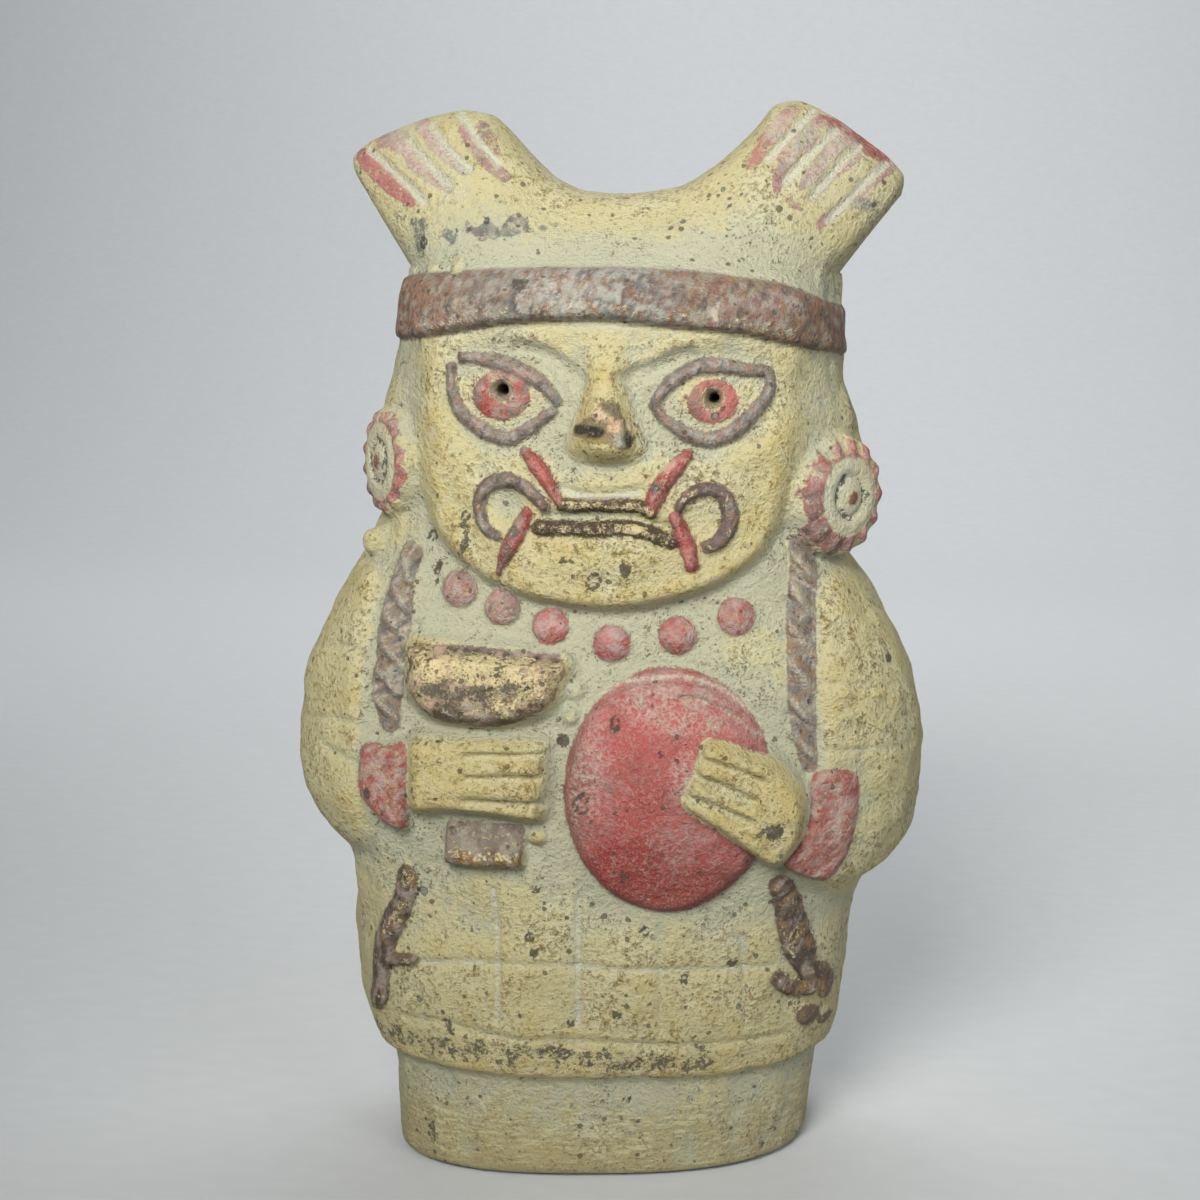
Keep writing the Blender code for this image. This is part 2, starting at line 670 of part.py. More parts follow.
def ear_face(distance, angle):
    """Height over an ear disc: petals that slope down from a raised middle with rings and a boss."""
    (flat, rim), fall = EAR_SLOPE
    level = EAR_RISE - fall * np.clip((distance - flat) / (rim - flat), 0, 1)
    level += PETAL_RISE * np.cos(EAR_PETALS * angle) * ramp(distance - flat - 0.5, 1.0)
    for radius, half, depth in EAR_RINGS:
        level -= depth * np.exp(-(((distance - radius) / half) ** 2))
    return level + EAR_BOSS[1] * np.clip(1 - (distance / EAR_BOSS[0]) ** 2, 0, 1)


def drop_face(distance, angle):
    """Height over the ball under the left disc, the same all round."""
    radius = EAR_DROP[-1]
    return radius * np.sqrt(np.clip(1 - (distance / radius) ** 2, 0, 1)) + 0 * angle


def figure_points(rows, crest_rows, columns):
    """The carved outer surface, in rows from the foot to the top edge of the crest."""
    rounding = FOOT_ROUNDING / UNIT
    heights = np.linspace(-BELOW_FOOT, BAND_TOP, rows, endpoint=False)
    shares = 1 - (1 - np.linspace(0, 1, crest_rows)) ** CREST_CROWDING
    angles = column_angles(columns, BACK_STEP)
    points = plain_form(heights, shares, angles)
    x, y, z = (points[..., axis].copy() for axis in range(3))
    front = ramp(-np.sin(angles) - FRONT_FADE[0], FRONT_FADE[1])[None, :]
    low = np.clip(rounding - z, 0, rounding)
    down = rounding - np.sqrt(rounding**2 - low**2)
    around = np.stack([np.cos(angles), SECTION[0] / SECTION[1] * np.sin(angles)])
    around /= np.hypot(*around)
    swell = HEM_RISE * ramp(z - hem_height(x), HEM_SLOPE) * (1 - ramp(z - HEM_FADE[0], HEM_FADE[1]))
    swell += BAND_SWELL * band_share(x, z) - down
    points[..., 0] += around[0] * swell
    points[..., 1] += around[1] * swell
    points[..., 1] -= carving(x, z) * front
    for *place, facing, radius in EAR_DISCS:
        points = stamp(points, place, facing, radius, ear_face)
    *place, facing, radius = EAR_DROP
    return stamp(points, place, facing, radius, drop_face)


def new_object(name, mesh_data):
    mesh = bpy.data.meshes.new(name)
    mesh_data.to_mesh(mesh)
    mesh_data.free()
    made = bpy.data.objects.new(name, mesh)
    bpy.context.scene.collection.objects.link(made)
    return made


def shell(name, points, front=0):
    """A closed mesh from rows of points round the figure.

    Where the number of columns in front is given, the top row is the edge of the crest, where the back meets
    the front. Otherwise the top is closed with a flat lid.
    """
    mesh = bmesh.new()
    rings = [[mesh.verts.new(point * UNIT) for point in row] for row in (points[:-1] if front else points)]
    for low, high in zip(rings, rings[1:]):
        for index in range(len(low)):
            mesh.faces.new((low[index - 1], low[index], high[index], high[index - 1]))
    mesh.faces.new(rings[0][::-1])
    low = rings[-1]
    if front:
        edge = [mesh.verts.new(point * UNIT) for point in points[-1][: front + 1]]
        for index in range(front):
            mesh.faces.new((low[index], low[index + 1], edge[index + 1], edge[index]))
        behind = low[front:] + low[:1]
        places = range(front, -1, -BACK_STEP)
        for near, far, start, end in zip(behind, behind[1:], places, places[1:]):
            mesh.faces.new((near, far, *edge[end : start + 1]))
    else:
        mesh.faces.new(low)
    bmesh.ops.recalc_face_normals(mesh, faces=mesh.faces)
    return new_object(name, mesh)


def clay():
    """Buff fired clay, matt."""
    material = bpy.data.materials.new("fired_clay")
    material.use_nodes = True
    surface = material.node_tree.nodes["Principled BSDF"]
    surface.inputs["Base Color"].default_value = (0.47, 0.37, 0.21, 1.0)
    surface.inputs["Roughness"].default_value = 0.85
    surface.inputs["Metallic"].default_value = 0.0
    return material


def cutter(made):
    made.hide_render = True
    made.display_type = "WIRE"
    return made


def cut(body, tool):
    step = body.modifiers.new(tool.name, "BOOLEAN")
    step.operation = "DIFFERENCE"
    step.solver = "EXACT"
    step.object = tool


def cavity():
    """The hollow inside, one wall's thickness in from the plain form."""
    wall = WALL / UNIT
    heights = np.linspace(wall, BAND_TOP, CAVITY_ROWS, endpoint=False)
    shares = np.linspace(0, CAVITY_TOP, CAVITY_CREST_ROWS)
    points = plain_form(heights, shares, column_angles(CAVITY_COLUMNS, 1), wall)
    return cutter(shell("cavity", points))


def pupil_bore(name, middle):
    """The round hole pierced from the front through the wall at a pupil, down to the middle of the hollow."""
    reach = 2 * DEPTHS[0][1]
    mesh = bmesh.new()
    turn = Matrix.Rotation(np.pi / 2, 4, "X")
    place = Matrix.Translation(Vector((middle[0], -reach / 2, middle[1])) * UNIT)
    bmesh.ops.create_cone(
        mesh,
        cap_ends=True,
        segments=BORE_SIDES,
        radius1=PUPIL_BORE / 2,
        radius2=PUPIL_BORE / 2,
        depth=reach * UNIT,
        matrix=place @ turn,
    )
    return cutter(new_object(name, mesh))


def ground():
    """What is cut away under the foot, so that the underside is flat."""
    mesh = bmesh.new()
    side = 2 * max(column(WIDTHS, 2)) * UNIT
    depth = 4 * BELOW_FOOT * UNIT
    place = Matrix.Translation((0, 0, -depth / 2)) @ Matrix.Diagonal((2 * side, 2 * side, depth, 1))
    bmesh.ops.create_cube(mesh, size=1, matrix=place)
    return cutter(new_object("ground", mesh))


def build():
    for old in list(bpy.data.objects):
        bpy.data.objects.remove(old, do_unlink=True)
    body = shell("clay_rattle", figure_points(ROWS, CREST_ROWS, COLUMNS), COLUMNS)
    body.data.materials.append(clay())
    body.data.shade_smooth()
    fewer = body.modifiers.new("fewer_faces", "DECIMATE")
    fewer.use_collapse_triangulate = True
    fewer.ratio = TRIANGLES / (2 * len(body.data.polygons))
    cut(body, ground())
    cut(body, cavity())
    for side, middle in zip(("left", "right"), PUPILS):
        cut(body, pupil_bore(f"{side}_pupil_bore", middle))


build()
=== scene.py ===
import bmesh
import bpy
import numpy as np
from mathutils import Matrix, Vector


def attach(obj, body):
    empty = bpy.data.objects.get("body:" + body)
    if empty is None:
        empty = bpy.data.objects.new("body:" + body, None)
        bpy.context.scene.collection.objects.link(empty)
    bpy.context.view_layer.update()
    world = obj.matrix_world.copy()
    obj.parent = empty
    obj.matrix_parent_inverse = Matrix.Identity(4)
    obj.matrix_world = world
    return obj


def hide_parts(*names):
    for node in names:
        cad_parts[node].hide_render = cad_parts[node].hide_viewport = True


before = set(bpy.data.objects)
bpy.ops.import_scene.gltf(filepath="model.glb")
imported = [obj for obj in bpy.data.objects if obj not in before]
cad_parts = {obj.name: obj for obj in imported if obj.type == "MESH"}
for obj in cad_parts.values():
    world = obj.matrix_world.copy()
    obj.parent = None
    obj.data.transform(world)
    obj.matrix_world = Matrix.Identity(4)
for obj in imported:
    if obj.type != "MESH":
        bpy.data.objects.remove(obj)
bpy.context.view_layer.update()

# The studio. The camera stands a little above the headband and to the figure's left and looks down on it, as
# in the photograph. A soft lamp hangs near its head, so that the light falls off towards the foot, and pale
# paper sweeps up behind it.
MM = 0.001
FRAME_PIXELS = 1200
FOCAL_PIXELS = 1923
SENSOR = 36.0
CAMERA_TURN = 6.0
CAMERA_DOWN = 8.0
CAMERA_ROLL = 0.9
CAMERA_AWAY = 279.0
CAMERA_ASIDE = -1.2
CAMERA_HEIGHT = 118.9
LAMPS = (
    ("key_lamp", (-55.0, -330.0, 262.0), (4.0, -10.0, 116.0), 150.0, 56.0, 0.253, (1.0, 0.99, 0.965)),
    ("fill_lamp", (260.0, -260.0, 210.0), (0.0, 0.0, 95.0), 260.0, 90.0, 0.14, (0.96, 0.985, 1.0)),
    ("paper_lamp", (0.0, 420.0, 900.0), (0.0, 1100.0, 250.0), 700.0, 180.0, 9.0, (0.98, 0.99, 1.0)),
)
ROOM_LIGHT = 0.14
ROOM_WHITE = "#e6eaec"
PAPER_WHITES = ("#c3c5c6", "#cbcdce")
PAPER_ROUGHNESS = 0.9
FIBRE_SCALE = 900.0
PAPER_WIDTH = 5000.0
PAPER_FRONT = -1800.0
PAPER_BEND = (650.0, 500.0)
PAPER_TOP = 2200.0
BEND_STEPS = 24


def linear(hex_colour):
    """An sRGB hex colour as linear RGB."""
    channels = [int(hex_colour[start : start + 2], 16) / 255 for start in (1, 3, 5)]
    return np.array([c / 12.92 if c <= 0.04045 else ((c + 0.055) / 1.055) ** 2.4 for c in channels])


def place(name, data):
    """Puts an object with this data into the scene."""
    made = bpy.data.objects.new(name, data)
    bpy.context.scene.collection.objects.link(made)
    return made


def add(tree, kind, links=None, **settings):
    """Adds a node with its settings. A link comes from a node's first live output."""
    node = tree.nodes.new(kind)
    for name, value in settings.items():
        setattr(node, name, value)
    for key, value in (links or {}).items():
        live = [socket for socket in node.inputs if socket.enabled]
        socket = live[key] if isinstance(key, int) else next(s for s in live if s.name == key)
        if isinstance(value, bpy.types.Node):
            value = next(out for out in value.outputs if out.enabled)
        if isinstance(value, bpy.types.NodeSocket):
            tree.links.new(value, socket)
        else:
            socket.default_value = value
    return node


lens = bpy.data.cameras.new("studio_camera")
lens.sensor_width = SENSOR
lens.lens = SENSOR * FOCAL_PIXELS / FRAME_PIXELS
lens.clip_start = 0.01
camera = place("studio_camera", lens)
turn = Matrix.Rotation(np.radians(CAMERA_TURN), 4, "Z")
tilt = Matrix.Rotation(np.radians(90 - CAMERA_DOWN), 4, "X")
roll = Matrix.Rotation(np.radians(CAMERA_ROLL), 4, "Z")
stand = Matrix.Translation(Vector((CAMERA_ASIDE, -CAMERA_AWAY, 0)) * MM)
lift = Matrix.Translation((0, 0, CAMERA_HEIGHT * MM))
camera.matrix_world = lift @ turn @ stand @ tilt @ roll
bpy.context.scene.camera = camera
bpy.context.scene.view_settings.view_transform = "Standard"

for name, where, target, side, spread, power, colour in LAMPS:
    lamp = bpy.data.lights.new(name, "AREA")
    lamp.size = side * MM
    lamp.energy = power
    lamp.color = colour
    lamp.spread = np.radians(spread)
    aim = Vector(target) - Vector(where)
    hung = Matrix.Translation(Vector(where) * MM) @ aim.to_track_quat("-Z", "Y").to_matrix().to_4x4()
    place(name, lamp).matrix_world = hung

room = bpy.data.worlds.new("studio_room")
bpy.context.scene.world = room
room.use_nodes = True
room.node_tree.nodes["Background"].inputs["Color"].default_value = (*linear(ROOM_WHITE), 1)
room.node_tree.nodes["Background"].inputs["Strength"].default_value = ROOM_LIGHT

bend_start, bend_radius = PAPER_BEND
bend = np.linspace(0, np.pi / 2, BEND_STEPS)
paper_line = [(PAPER_FRONT, 0.0)]
paper_line += list(zip(bend_start + bend_radius * np.sin(bend), bend_radius * (1 - np.cos(bend))))
paper_line += [(bend_start + bend_radius, PAPER_TOP)]
roll_out = bmesh.new()
sides = [
    [roll_out.verts.new(Vector((side * PAPER_WIDTH / 2, y, z)) * MM) for y, z in paper_line]
    for side in (-1, 1)
]
for a, b, c, d in zip(sides[0], sides[1], sides[1][1:], sides[0][1:]):
    roll_out.faces.new((a, b, c, d))
sweep_mesh = bpy.data.meshes.new("studio_sweep")
roll_out.to_mesh(sweep_mesh)
roll_out.free()
sweep_mesh.shade_smooth()
sweep = place("studio_sweep", sweep_mesh)
paper = bpy.data.materials.new("matt_paper")
paper.use_nodes = True
sheet = paper.node_tree.nodes["Principled BSDF"]
fibre = add(paper.node_tree, "ShaderNodeTexNoise", {"Scale": FIBRE_SCALE, "Detail": 2.0})
dull, bright = ((*linear(white), 1) for white in PAPER_WHITES)
shade = add(paper.node_tree, "ShaderNodeMix", {"Factor": fibre, "A": dull, "B": bright}, data_type="RGBA")
paper.node_tree.links.new(shade.outputs[2], sheet.inputs["Base Color"])
sheet.inputs["Roughness"].default_value = PAPER_ROUGHNESS
sweep_mesh.materials.append(paper)

# The hollow body. Two slabs of clay were pressed in a front and a back mould and joined at the sides, so the
# figure is one vessel. Its plain form is rings round the body, then a crest that draws in to its top edge.
BAND_TOP = 127.4
SQUARENESS = 2.6
SECTION = (36.0, 24.0)
FOOT_SKEW = 0.14
SKEW_FADE = (55.0, 90.0)
FRONT_FADE = (0.1, 0.5)
CREST_EDGE = 7.0
CREST_CROWDING = 1.4
CREST_ROUNDING = 0.22
CREST_FULLNESS = 0.4
FOOT_ROUNDING = 2.0
FRONT_COLUMNS = 252
BACK_STEP = 6
ROW_STEPS = ((0.0, 16.0, 0.9), (16.0, 40.0, 0.5), (40.0, BAND_TOP, 0.4))
CREST_ROWS = 46

# Height, then half-widths at the viewer's left and right, from the foot up. These and the crest's top edge
# were adjusted until the form met the figure's outline in the photograph.
WIDTHS = (
    (0, 29.2, 31.0),
    (12, 29.6, 32.2),
    (16, 30.2, 32.6),
    (20, 31.9, 33.6),
    (27, 33.6, 34.4),
    (36, 34.3, 35.7),
    (41, 35.2, 37.9),
    (45, 36.4, 42.4),
    (50, 40.9, 45.2),
    (55, 43.2, 45.9),
    (61, 43.8, 46.2),
    (69, 43.2, 44.9),
    (78, 40.0, 40.9),
    (84, 36.7, 37.4),
    (89, 34.1, 34.2),
    (94, 32.4, 33.6),
    (102, 33.0, 35.8),
    (107, 32.6, 35.0),
    (113, 31.0, 33.1),
    (121, 29.5, 32.4),
    (BAND_TOP, 28.7, 32.0),
)

# Height, then half-depths in front and behind, from the foot up.
DEPTHS = (
    (0, 21.6, 19.5),
    (12, 21.2, 20.0),
    (20, 22.0, 20.6),
    (36, 24.0, 22.2),
    (54, 25.6, 23.5),
    (69, 24.8, 23.0),
    (84, 22.4, 21.5),
    (94, 21.6, 20.5),
    (107, 22.4, 21.5),
    (121, 22.0, 20.5),
    (BAND_TOP, 19.5, 18.0),
)

# The top edge of the crest from left to right: share of the width, then place across and height.
CREST_TOP = (
    (-1.00, -37.4, 140.9),
    (-0.97, -37.8, 142.6),
    (-0.93, -36.2, 144.5),
    (-0.87, -32.6, 146.4),
    (-0.76, -26.8, 148.5),
    (-0.64, -21.3, 149.5),
    (-0.57, -17.8, 149.0),
    (-0.52, -15.6, 147.4),
    (-0.44, -12.6, 144.3),
    (-0.32, -8.2, 140.2),
    (-0.18, -3.7, 138.4),
    (0.02, 1.5, 138.1),
    (0.20, 8.7, 139.0),
    (0.34, 14.0, 141.9),
    (0.48, 19.6, 147.0),
    (0.56, 22.8, 150.6),
    (0.62, 25.4, 151.0),
    (0.72, 29.9, 149.2),
    (0.83, 34.9, 145.9),
    (0.92, 39.2, 142.5),
    (0.97, 40.7, 140.3),
    (1.00, 40.3, 138.3),
)

# Half-depths of the crest from the headband, 0, to its top edge, 1.
CREST_DEPTHS = ((0.0, 19.0, 18.0), (0.3, 15.6, 14.6), (0.6, 11.6, 11.0), (1.0, CREST_EDGE, CREST_EDGE))


def along(place, knots, values):
    """A smooth curve through the values at the knots, with no overshoot."""
    knots = np.asarray(knots, float)
    values = np.asarray(values, float)
    spans = np.diff(knots)
    slopes = np.diff(values) / spans
    before, after = slopes[:-1], slopes[1:]
    turning = before * after <= 0
    total = np.where(turning, 1, before + after)
    inner = np.where(turning, 0, 2 * before * after / total)
    tangents = np.concatenate([slopes[:1], inner, slopes[-1:]])
    index = np.clip(np.searchsorted(knots, place, side="right") - 1, 0, len(spans) - 1)
    span = spans[index]
    t = np.clip((place - knots[index]) / span, 0, 1)
    rest = 1 - t
    start = values[index] * (1 + 2 * t) + tangents[index] * span * t
    end = values[index + 1] * (1 + 2 * rest) - tangents[index + 1] * span * rest
    return start * rest**2 + end * t**2


def column(table, number):
    """One column of a table."""
    return [row[number] for row in table]


def ramp(inside, width):
    """0 outside an edge and 1 inside it, eased over the width."""
    t = np.clip(inside / width + 0.5, 0, 1)
    return t * t * (3 - 2 * t)


def column_angles(front, step):
    """Angles round a section: the front from left to right, then every step-th of them again on the back."""
    fine = np.linspace(np.pi, 2 * np.pi, 2001)
    across = SECTION[0] * np.sign(np.cos(fine)) * np.abs(np.cos(fine)) ** (2 / SQUARENESS)
    deep = SECTION[1] * np.abs(np.sin(fine)) ** (2 / SQUARENESS)
    run = np.concatenate([[0], np.cumsum(np.hypot(np.diff(across), np.diff(deep)))])
    ahead = np.interp(np.arange(front + 1) / front * run[-1], run, fine)
    behind = 2 * np.pi - ahead[step:front:step][::-1]
    return np.concatenate([ahead, behind])


def plain_form(heights, crest_shares, angles, inset=0.0):
    """Rows of points round the figure with no carving, drawn in by the inset."""
    u = np.sign(np.cos(angles)) * np.abs(np.cos(angles)) ** (2 / SQUARENESS)
    s = np.sign(np.sin(angles)) * np.abs(np.sin(angles)) ** (2 / SQUARENESS)
    u, s = u[None, :], s[None, :]
    z = heights[:, None] + 0 * u
    left, right = (along(z, column(WIDTHS, 0), column(WIDTHS, side)) - inset for side in (1, 2))
    ahead, behind = (along(z, column(DEPTHS, 0), column(DEPTHS, side)) - inset for side in (1, 2))
    x = np.where(u < 0, left, right) * u
    y = np.where(s < 0, ahead, behind) * s
    y = y + FOOT_SKEW * (1 - ramp(z - SKEW_FADE[0], SKEW_FADE[1])) * x
    body = np.stack([x, y, z], axis=-1)
    t = crest_shares[:, None] + 0 * u
    first, last = WIDTHS[-1][1] - inset, WIDTHS[-1][2] - inset
    low_x = np.where(u < 0, first, last) * u
    top_x = along(u, column(CREST_TOP, 0), column(CREST_TOP, 1)) * (1 - inset / SECTION[0])
    top_z = along(u, column(CREST_TOP, 0), column(CREST_TOP, 2)) - inset
    x = low_x + (top_x - low_x) * t
    z = BAND_TOP + (top_z - BAND_TOP) * t
    depths = (along(t, column(CREST_DEPTHS, 0), column(CREST_DEPTHS, side)) - inset for side in (1, 2))
    ahead, behind = depths
    edge = np.sqrt(np.clip(1 - (1 - (1 - t) / CREST_ROUNDING).clip(0, 1) ** 2, 0, 1))
    s = np.sign(s) * np.abs(s) ** (1 - CREST_FULLNESS * t)
    y = np.where(s < 0, ahead, behind) * s * (edge if inset == 0 else 1)
    return np.concatenate([body, np.stack([x, y, z], axis=-1)])


heights = np.concatenate([np.arange(*steps) for steps in ROW_STEPS])
crest_shares = 1 - (1 - np.linspace(0, 1, CREST_ROWS)) ** CREST_CROWDING
angles = column_angles(FRONT_COLUMNS, BACK_STEP)
points = plain_form(heights, crest_shares, angles)
x, y, z = (points[..., axis].copy() for axis in range(3))
front = ramp(-np.sin(angles) - FRONT_FADE[0], FRONT_FADE[1])[None, :] + 0 * x
relief = np.zeros_like(x)
swell = np.zeros_like(x)

# The slip paint on it, brushed on before firing. Each painted place keeps its colour, how far inside its edge
# it is and how worn it is. The clay keeps where it has soot or dark stains, some of them painted shade, where
# it is dusty, and where hands have polished it, which also brings painted sheen.
FAR = 9.0
chance = np.random.default_rng(7)
slip_edge = np.full_like(x, -FAR)
slip_colour = np.zeros((*x.shape, 3))
slip_wear = np.zeros_like(x)
# Dark stains and soot, and painted shade where dark marks stand for shadows.
stain_and_shade = np.zeros_like(x)
# Polish by hands, which the colours also show as painted cream glints.
polish_and_sheen = np.zeros_like(x)
dust = np.zeros_like(x)


def blur(values, passes):
    """Evens out values over the rings, wrapping round the figure."""
    for _ in range(passes):
        values = (np.roll(values, 1, 1) + 2 * values + np.roll(values, -1, 1)) / 4
        padded = np.pad(values, ((1, 1), (0, 0)), mode="edge")
        values = (padded[:-2] + 2 * values + padded[2:]) / 4
    return values


def roughness(passes):
    """Chance unevenness that is even over about as many mm as its passes allow."""
    rough = blur(chance.standard_normal(x.shape), passes)
    return rough / rough.std()


def paint(edge, colour, wear):
    """Brushes slip over a place, given as the distance inside its edge in mm."""
    edge = np.where(front > 0, edge, -FAR)
    over = edge > slip_edge
    slip_edge[over] = edge[over]
    slip_colour[over] = linear(colour)
    slip_wear[over] = wear


def unpaint(edge):
    """Keeps slip off a place that stands over a painted one."""
    np.minimum(slip_edge, -edge, out=slip_edge)


def tint(share, colour, wear=None):
    """Turns the slip in a place towards another colour, and its wear towards another too."""
    slip_colour[...] += share[..., None] * (linear(colour) - slip_colour)
    if wear is not None:
        slip_wear[...] += share * (wear - slip_wear)


def mark(layer, share):
    """Adds a share of soot or painted shade, dust, or polish with painted sheen to what a place has."""
    np.maximum(layer, share, out=layer)


def dapple(share, colours, least=0.7, passes=2):
    """Breaks up the slip in a place with patches of other colours about 1 mm across."""
    for colour in colours:
        tint(share * ramp(roughness(passes) - least, 0.7), colour)


RAG = 0.28 * roughness(4)


def to_path(across, up, path):
    """Distance to a path, share of its length at the nearest place, and the signed distance to its side."""
    nearest = np.full(across.shape, 1e9)
    share = np.zeros(across.shape)
    side = np.zeros(across.shape)
    lengths = np.hypot(*np.diff(path, axis=0).T)
    starts = np.concatenate([[0], np.cumsum(lengths)])
    for (ax, az), (bx, bz), length, start in zip(path, path[1:], lengths, starts):
        ux, uz = (bx - ax) / length, (bz - az) / length
        t = np.clip((across - ax) * ux + (up - az) * uz, 0, length)
        gap = np.hypot(across - ax - t * ux, up - az - t * uz)
        closer = gap < nearest
        nearest = np.where(closer, gap, nearest)
        share = np.where(closer, (start + t) / starts[-1], share)
        side = np.where(closer, (across - ax) * uz - (up - az) * ux, side)
    return nearest, share, side


def curve(places, pieces=5, closed=False):
    """The points of a smooth curve through the given ones."""
    places = np.asarray(places, float)
    if closed:
        padded = np.vstack([places[-1:], places, places[:2]])
    else:
        padded = np.vstack([2 * places[0] - places[1], places, 2 * places[-1] - places[-2]])
    made = []
    for before, start, end, after in zip(padded, padded[1:], padded[2:], padded[3:]):
        for t in np.arange(pieces) / pieces:
            bend = 2 * start + (end - before) * t
            bend += (2 * before - 5 * start + 4 * end - after) * t**2
            bend += (3 * start - before - 3 * end + after) * t**3
            made.append(bend / 2)
    made.append(places[0] if closed else places[-1])
    return np.array(made)


def around(path, reach):
    """The places on the front that lie within reach of a path."""
    low, high = path.min(axis=0) - reach, path.max(axis=0) + reach
    return (front > 0) & (x > low[0]) & (x < high[0]) & (z > low[1]) & (z < high[1])


def strip(places, widths):
    """Distance inside the edge of a strip along a path, its half-width, the share along it and its side."""
    path = curve(places)
    here = around(path, FAR)
    gap, share, side = (np.full_like(x, value) for value in (2 * FAR, 0.0, 0.0))
    gap[here], share[here], side[here] = to_path(x[here], z[here], path)
    half = np.interp(share, np.linspace(0, 1, len(widths)), widths) / 2
    return half - gap, half, share, side


def shape(places):
    """Distance inside a closed outline."""
    path = curve(places, closed=True)
    here = around(path, FAR)
    across, up = x[here], z[here]
    gap = to_path(across, up, path)[0]
    odd = np.zeros(across.shape, bool)
    for (ax, az), (bx, bz) in zip(path, path[1:]):
        if az != bz:
            crossing = (az > up) != (bz > up)
            odd ^= crossing & (across < ax + (up - az) * (bx - ax) / (bz - az))
    edge = np.full_like(x, -FAR)
    edge[here] = np.where(odd, gap, -gap)
    return edge


def oval(middle, radii, slant=0.0):
    """Distance inside an oval, measured along its shorter radius."""
    turned = np.radians(slant)
    a = (x - middle[0]) * np.cos(turned) + (z - middle[1]) * np.sin(turned)
    b = (z - middle[1]) * np.cos(turned) - (x - middle[0]) * np.sin(turned)
    edge = (1 - np.hypot(a / radii[0], b / radii[1])) * min(radii)
    return np.where(front > 0, edge, -FAR)


def rounded(edge, half, rise, fullness=0.6):
    """Height of a rounded form over its edge distance. Low fullness gives steep sides."""
    return rise * np.clip(1 - (1 - np.clip(edge / half, 0, 1)) ** 2, 0, 1) ** fullness


def coil(places, widths, rise):
    """Distance inside the edge of a thin roll of clay along a path, and its height."""
    edge, half, _, _ = strip(places, widths)
    return edge, rounded(edge, half, rise)


def drawn(places, width, depth):
    """A line drawn in the wet clay with a round point."""
    edge, half, _, _ = strip(places, (width, width))
    return -rounded(edge, half, depth, 1.0)


def chalk(places, width, amount):
    """Pale dust that lies along a line."""
    mark(dust, amount * ramp(strip(places, (width, width))[0], 0.8))


# The crest. Two fans of feathers stand up from the head, with flutes drawn in the clay and red slip brushed
# between them, now mostly worn to pink.

# Places on the front are across and up in mm, here and in the sections below. They were picked by eye in the
# photograph, and most were turned into mm by a separate program that took each one to the modelled surface.
FLUTES = (
    ((-34.6, 143.6), (-32.0, 141.7), (-28.7, 138.8), (-25.2, 135.9)),
    ((-28.4, 144.6), (-25.8, 141.9), (-21.7, 138.1)),
    ((-25.5, 146.8), (-22.6, 143.5), (-19.1, 140.4)),
    ((-21.5, 148.6), (-18.8, 145.1), (-16.5, 142.6), (-15.4, 141.2)),
    ((27.6, 149.0), (25.3, 146.3), (23.4, 143.9), (21.8, 142.1)),
    ((30.8, 146.4), (28.1, 143.6), (26.2, 141.5), (24.2, 139.0)),
    ((34.0, 144.3), (31.6, 141.7), (29.6, 139.3), (27.9, 137.1)),
    ((37.8, 142.1), (35.1, 139.4), (32.4, 136.6), (30.2, 134.1)),
)
FLUTE_WIDTH = 1.6
FLUTE_DEPTH = 0.7
CREST_RED = "#ab6f68"
CREST_MAUVE = "#a5807b"
CREST_STRIPES = (
    (
        ((-35.6, 142.8), (-33.8, 141.6), (-31.4, 139.4), (-28.9, 137.2), (-27.3, 136.0)),
        (2.2, 3.2, 2.8, 1.2),
        CREST_RED,
        0.30,
    ),
    (((-32.5, 145.1), (-30.5, 144.9), (-28.2, 143.6)), (2.6, 3.4, 2.2), "#a87a74", 0.36),
    (
        ((-29.1, 144.5), (-26.8, 141.2), (-24.8, 139.8), (-21.7, 137.6)),
        (2.0, 2.3, 1.8, 1.0),
        CREST_MAUVE,
        0.36,
    ),
    (
        ((-27.0, 147.0), (-25.1, 145.0), (-23.6, 143.5), (-19.7, 140.0)),
        (2.2, 2.1, 1.8, 1.0),
        CREST_MAUVE,
        0.34,
    ),
    (
        ((-20.3, 146.1), (-18.6, 143.6), (-17.1, 141.8), (-14.2, 139.4)),
        (2.0, 1.9, 1.7, 1.4),
        "#a57f78",
        0.40,
    ),
    (((-18.1, 146.9), (-16.7, 144.7), (-15.5, 143.0)), (1.6, 1.4, 1.1), "#a57f78", 0.42),
    (((24.6, 148.9), (23.3, 146.9), (22.0, 145.2), (19.7, 141.6)), (2.2, 2.2, 2.0, 1.8), "#ad766a", 0.40),
    (((27.6, 146.6), (26.0, 144.9), (23.5, 142.3)), (1.7, 1.5, 1.2), "#a86f6a", 0.40),
    (((28.1, 145.0), (26.1, 143.5), (23.5, 140.4), (23.1, 137.9)), (1.7, 1.6, 1.6, 1.3), CREST_MAUVE, 0.32),
    (((32.2, 146.9), (30.9, 144.4), (28.9, 141.6), (26.9, 138.8)), (2.6, 2.4, 2.0, 1.6), CREST_MAUVE, 0.38),
    (((33.6, 142.7), (31.6, 141.0), (29.6, 138.9), (27.9, 137.1)), (1.6, 1.3, 1.1), "#a4736d", 0.38),
    (((38.2, 141.4), (35.8, 139.5), (33.1, 137.0), (29.1, 133.4)), (1.7, 1.5, 1.3), CREST_MAUVE, 0.40),
    (((28.0, 148.2), (30.8, 147.0), (34.0, 144.8), (37.9, 142.9)), (1.4, 2.8, 2.4, 1.2), "#9e534c", 0.30),
    (((24.7, 136.6), (26.6, 135.2)), (1.0, 0.6), CREST_MAUVE, 0.50),
)
FAN_DUST = (((-25.5, 142.5), (10.5, 4.6), -38.0), ((29.5, 142.0), (10.5, 5.4), -42.0))
for places, widths, colour, wear in CREST_STRIPES:
    paint(strip(places, widths)[0], colour, wear)
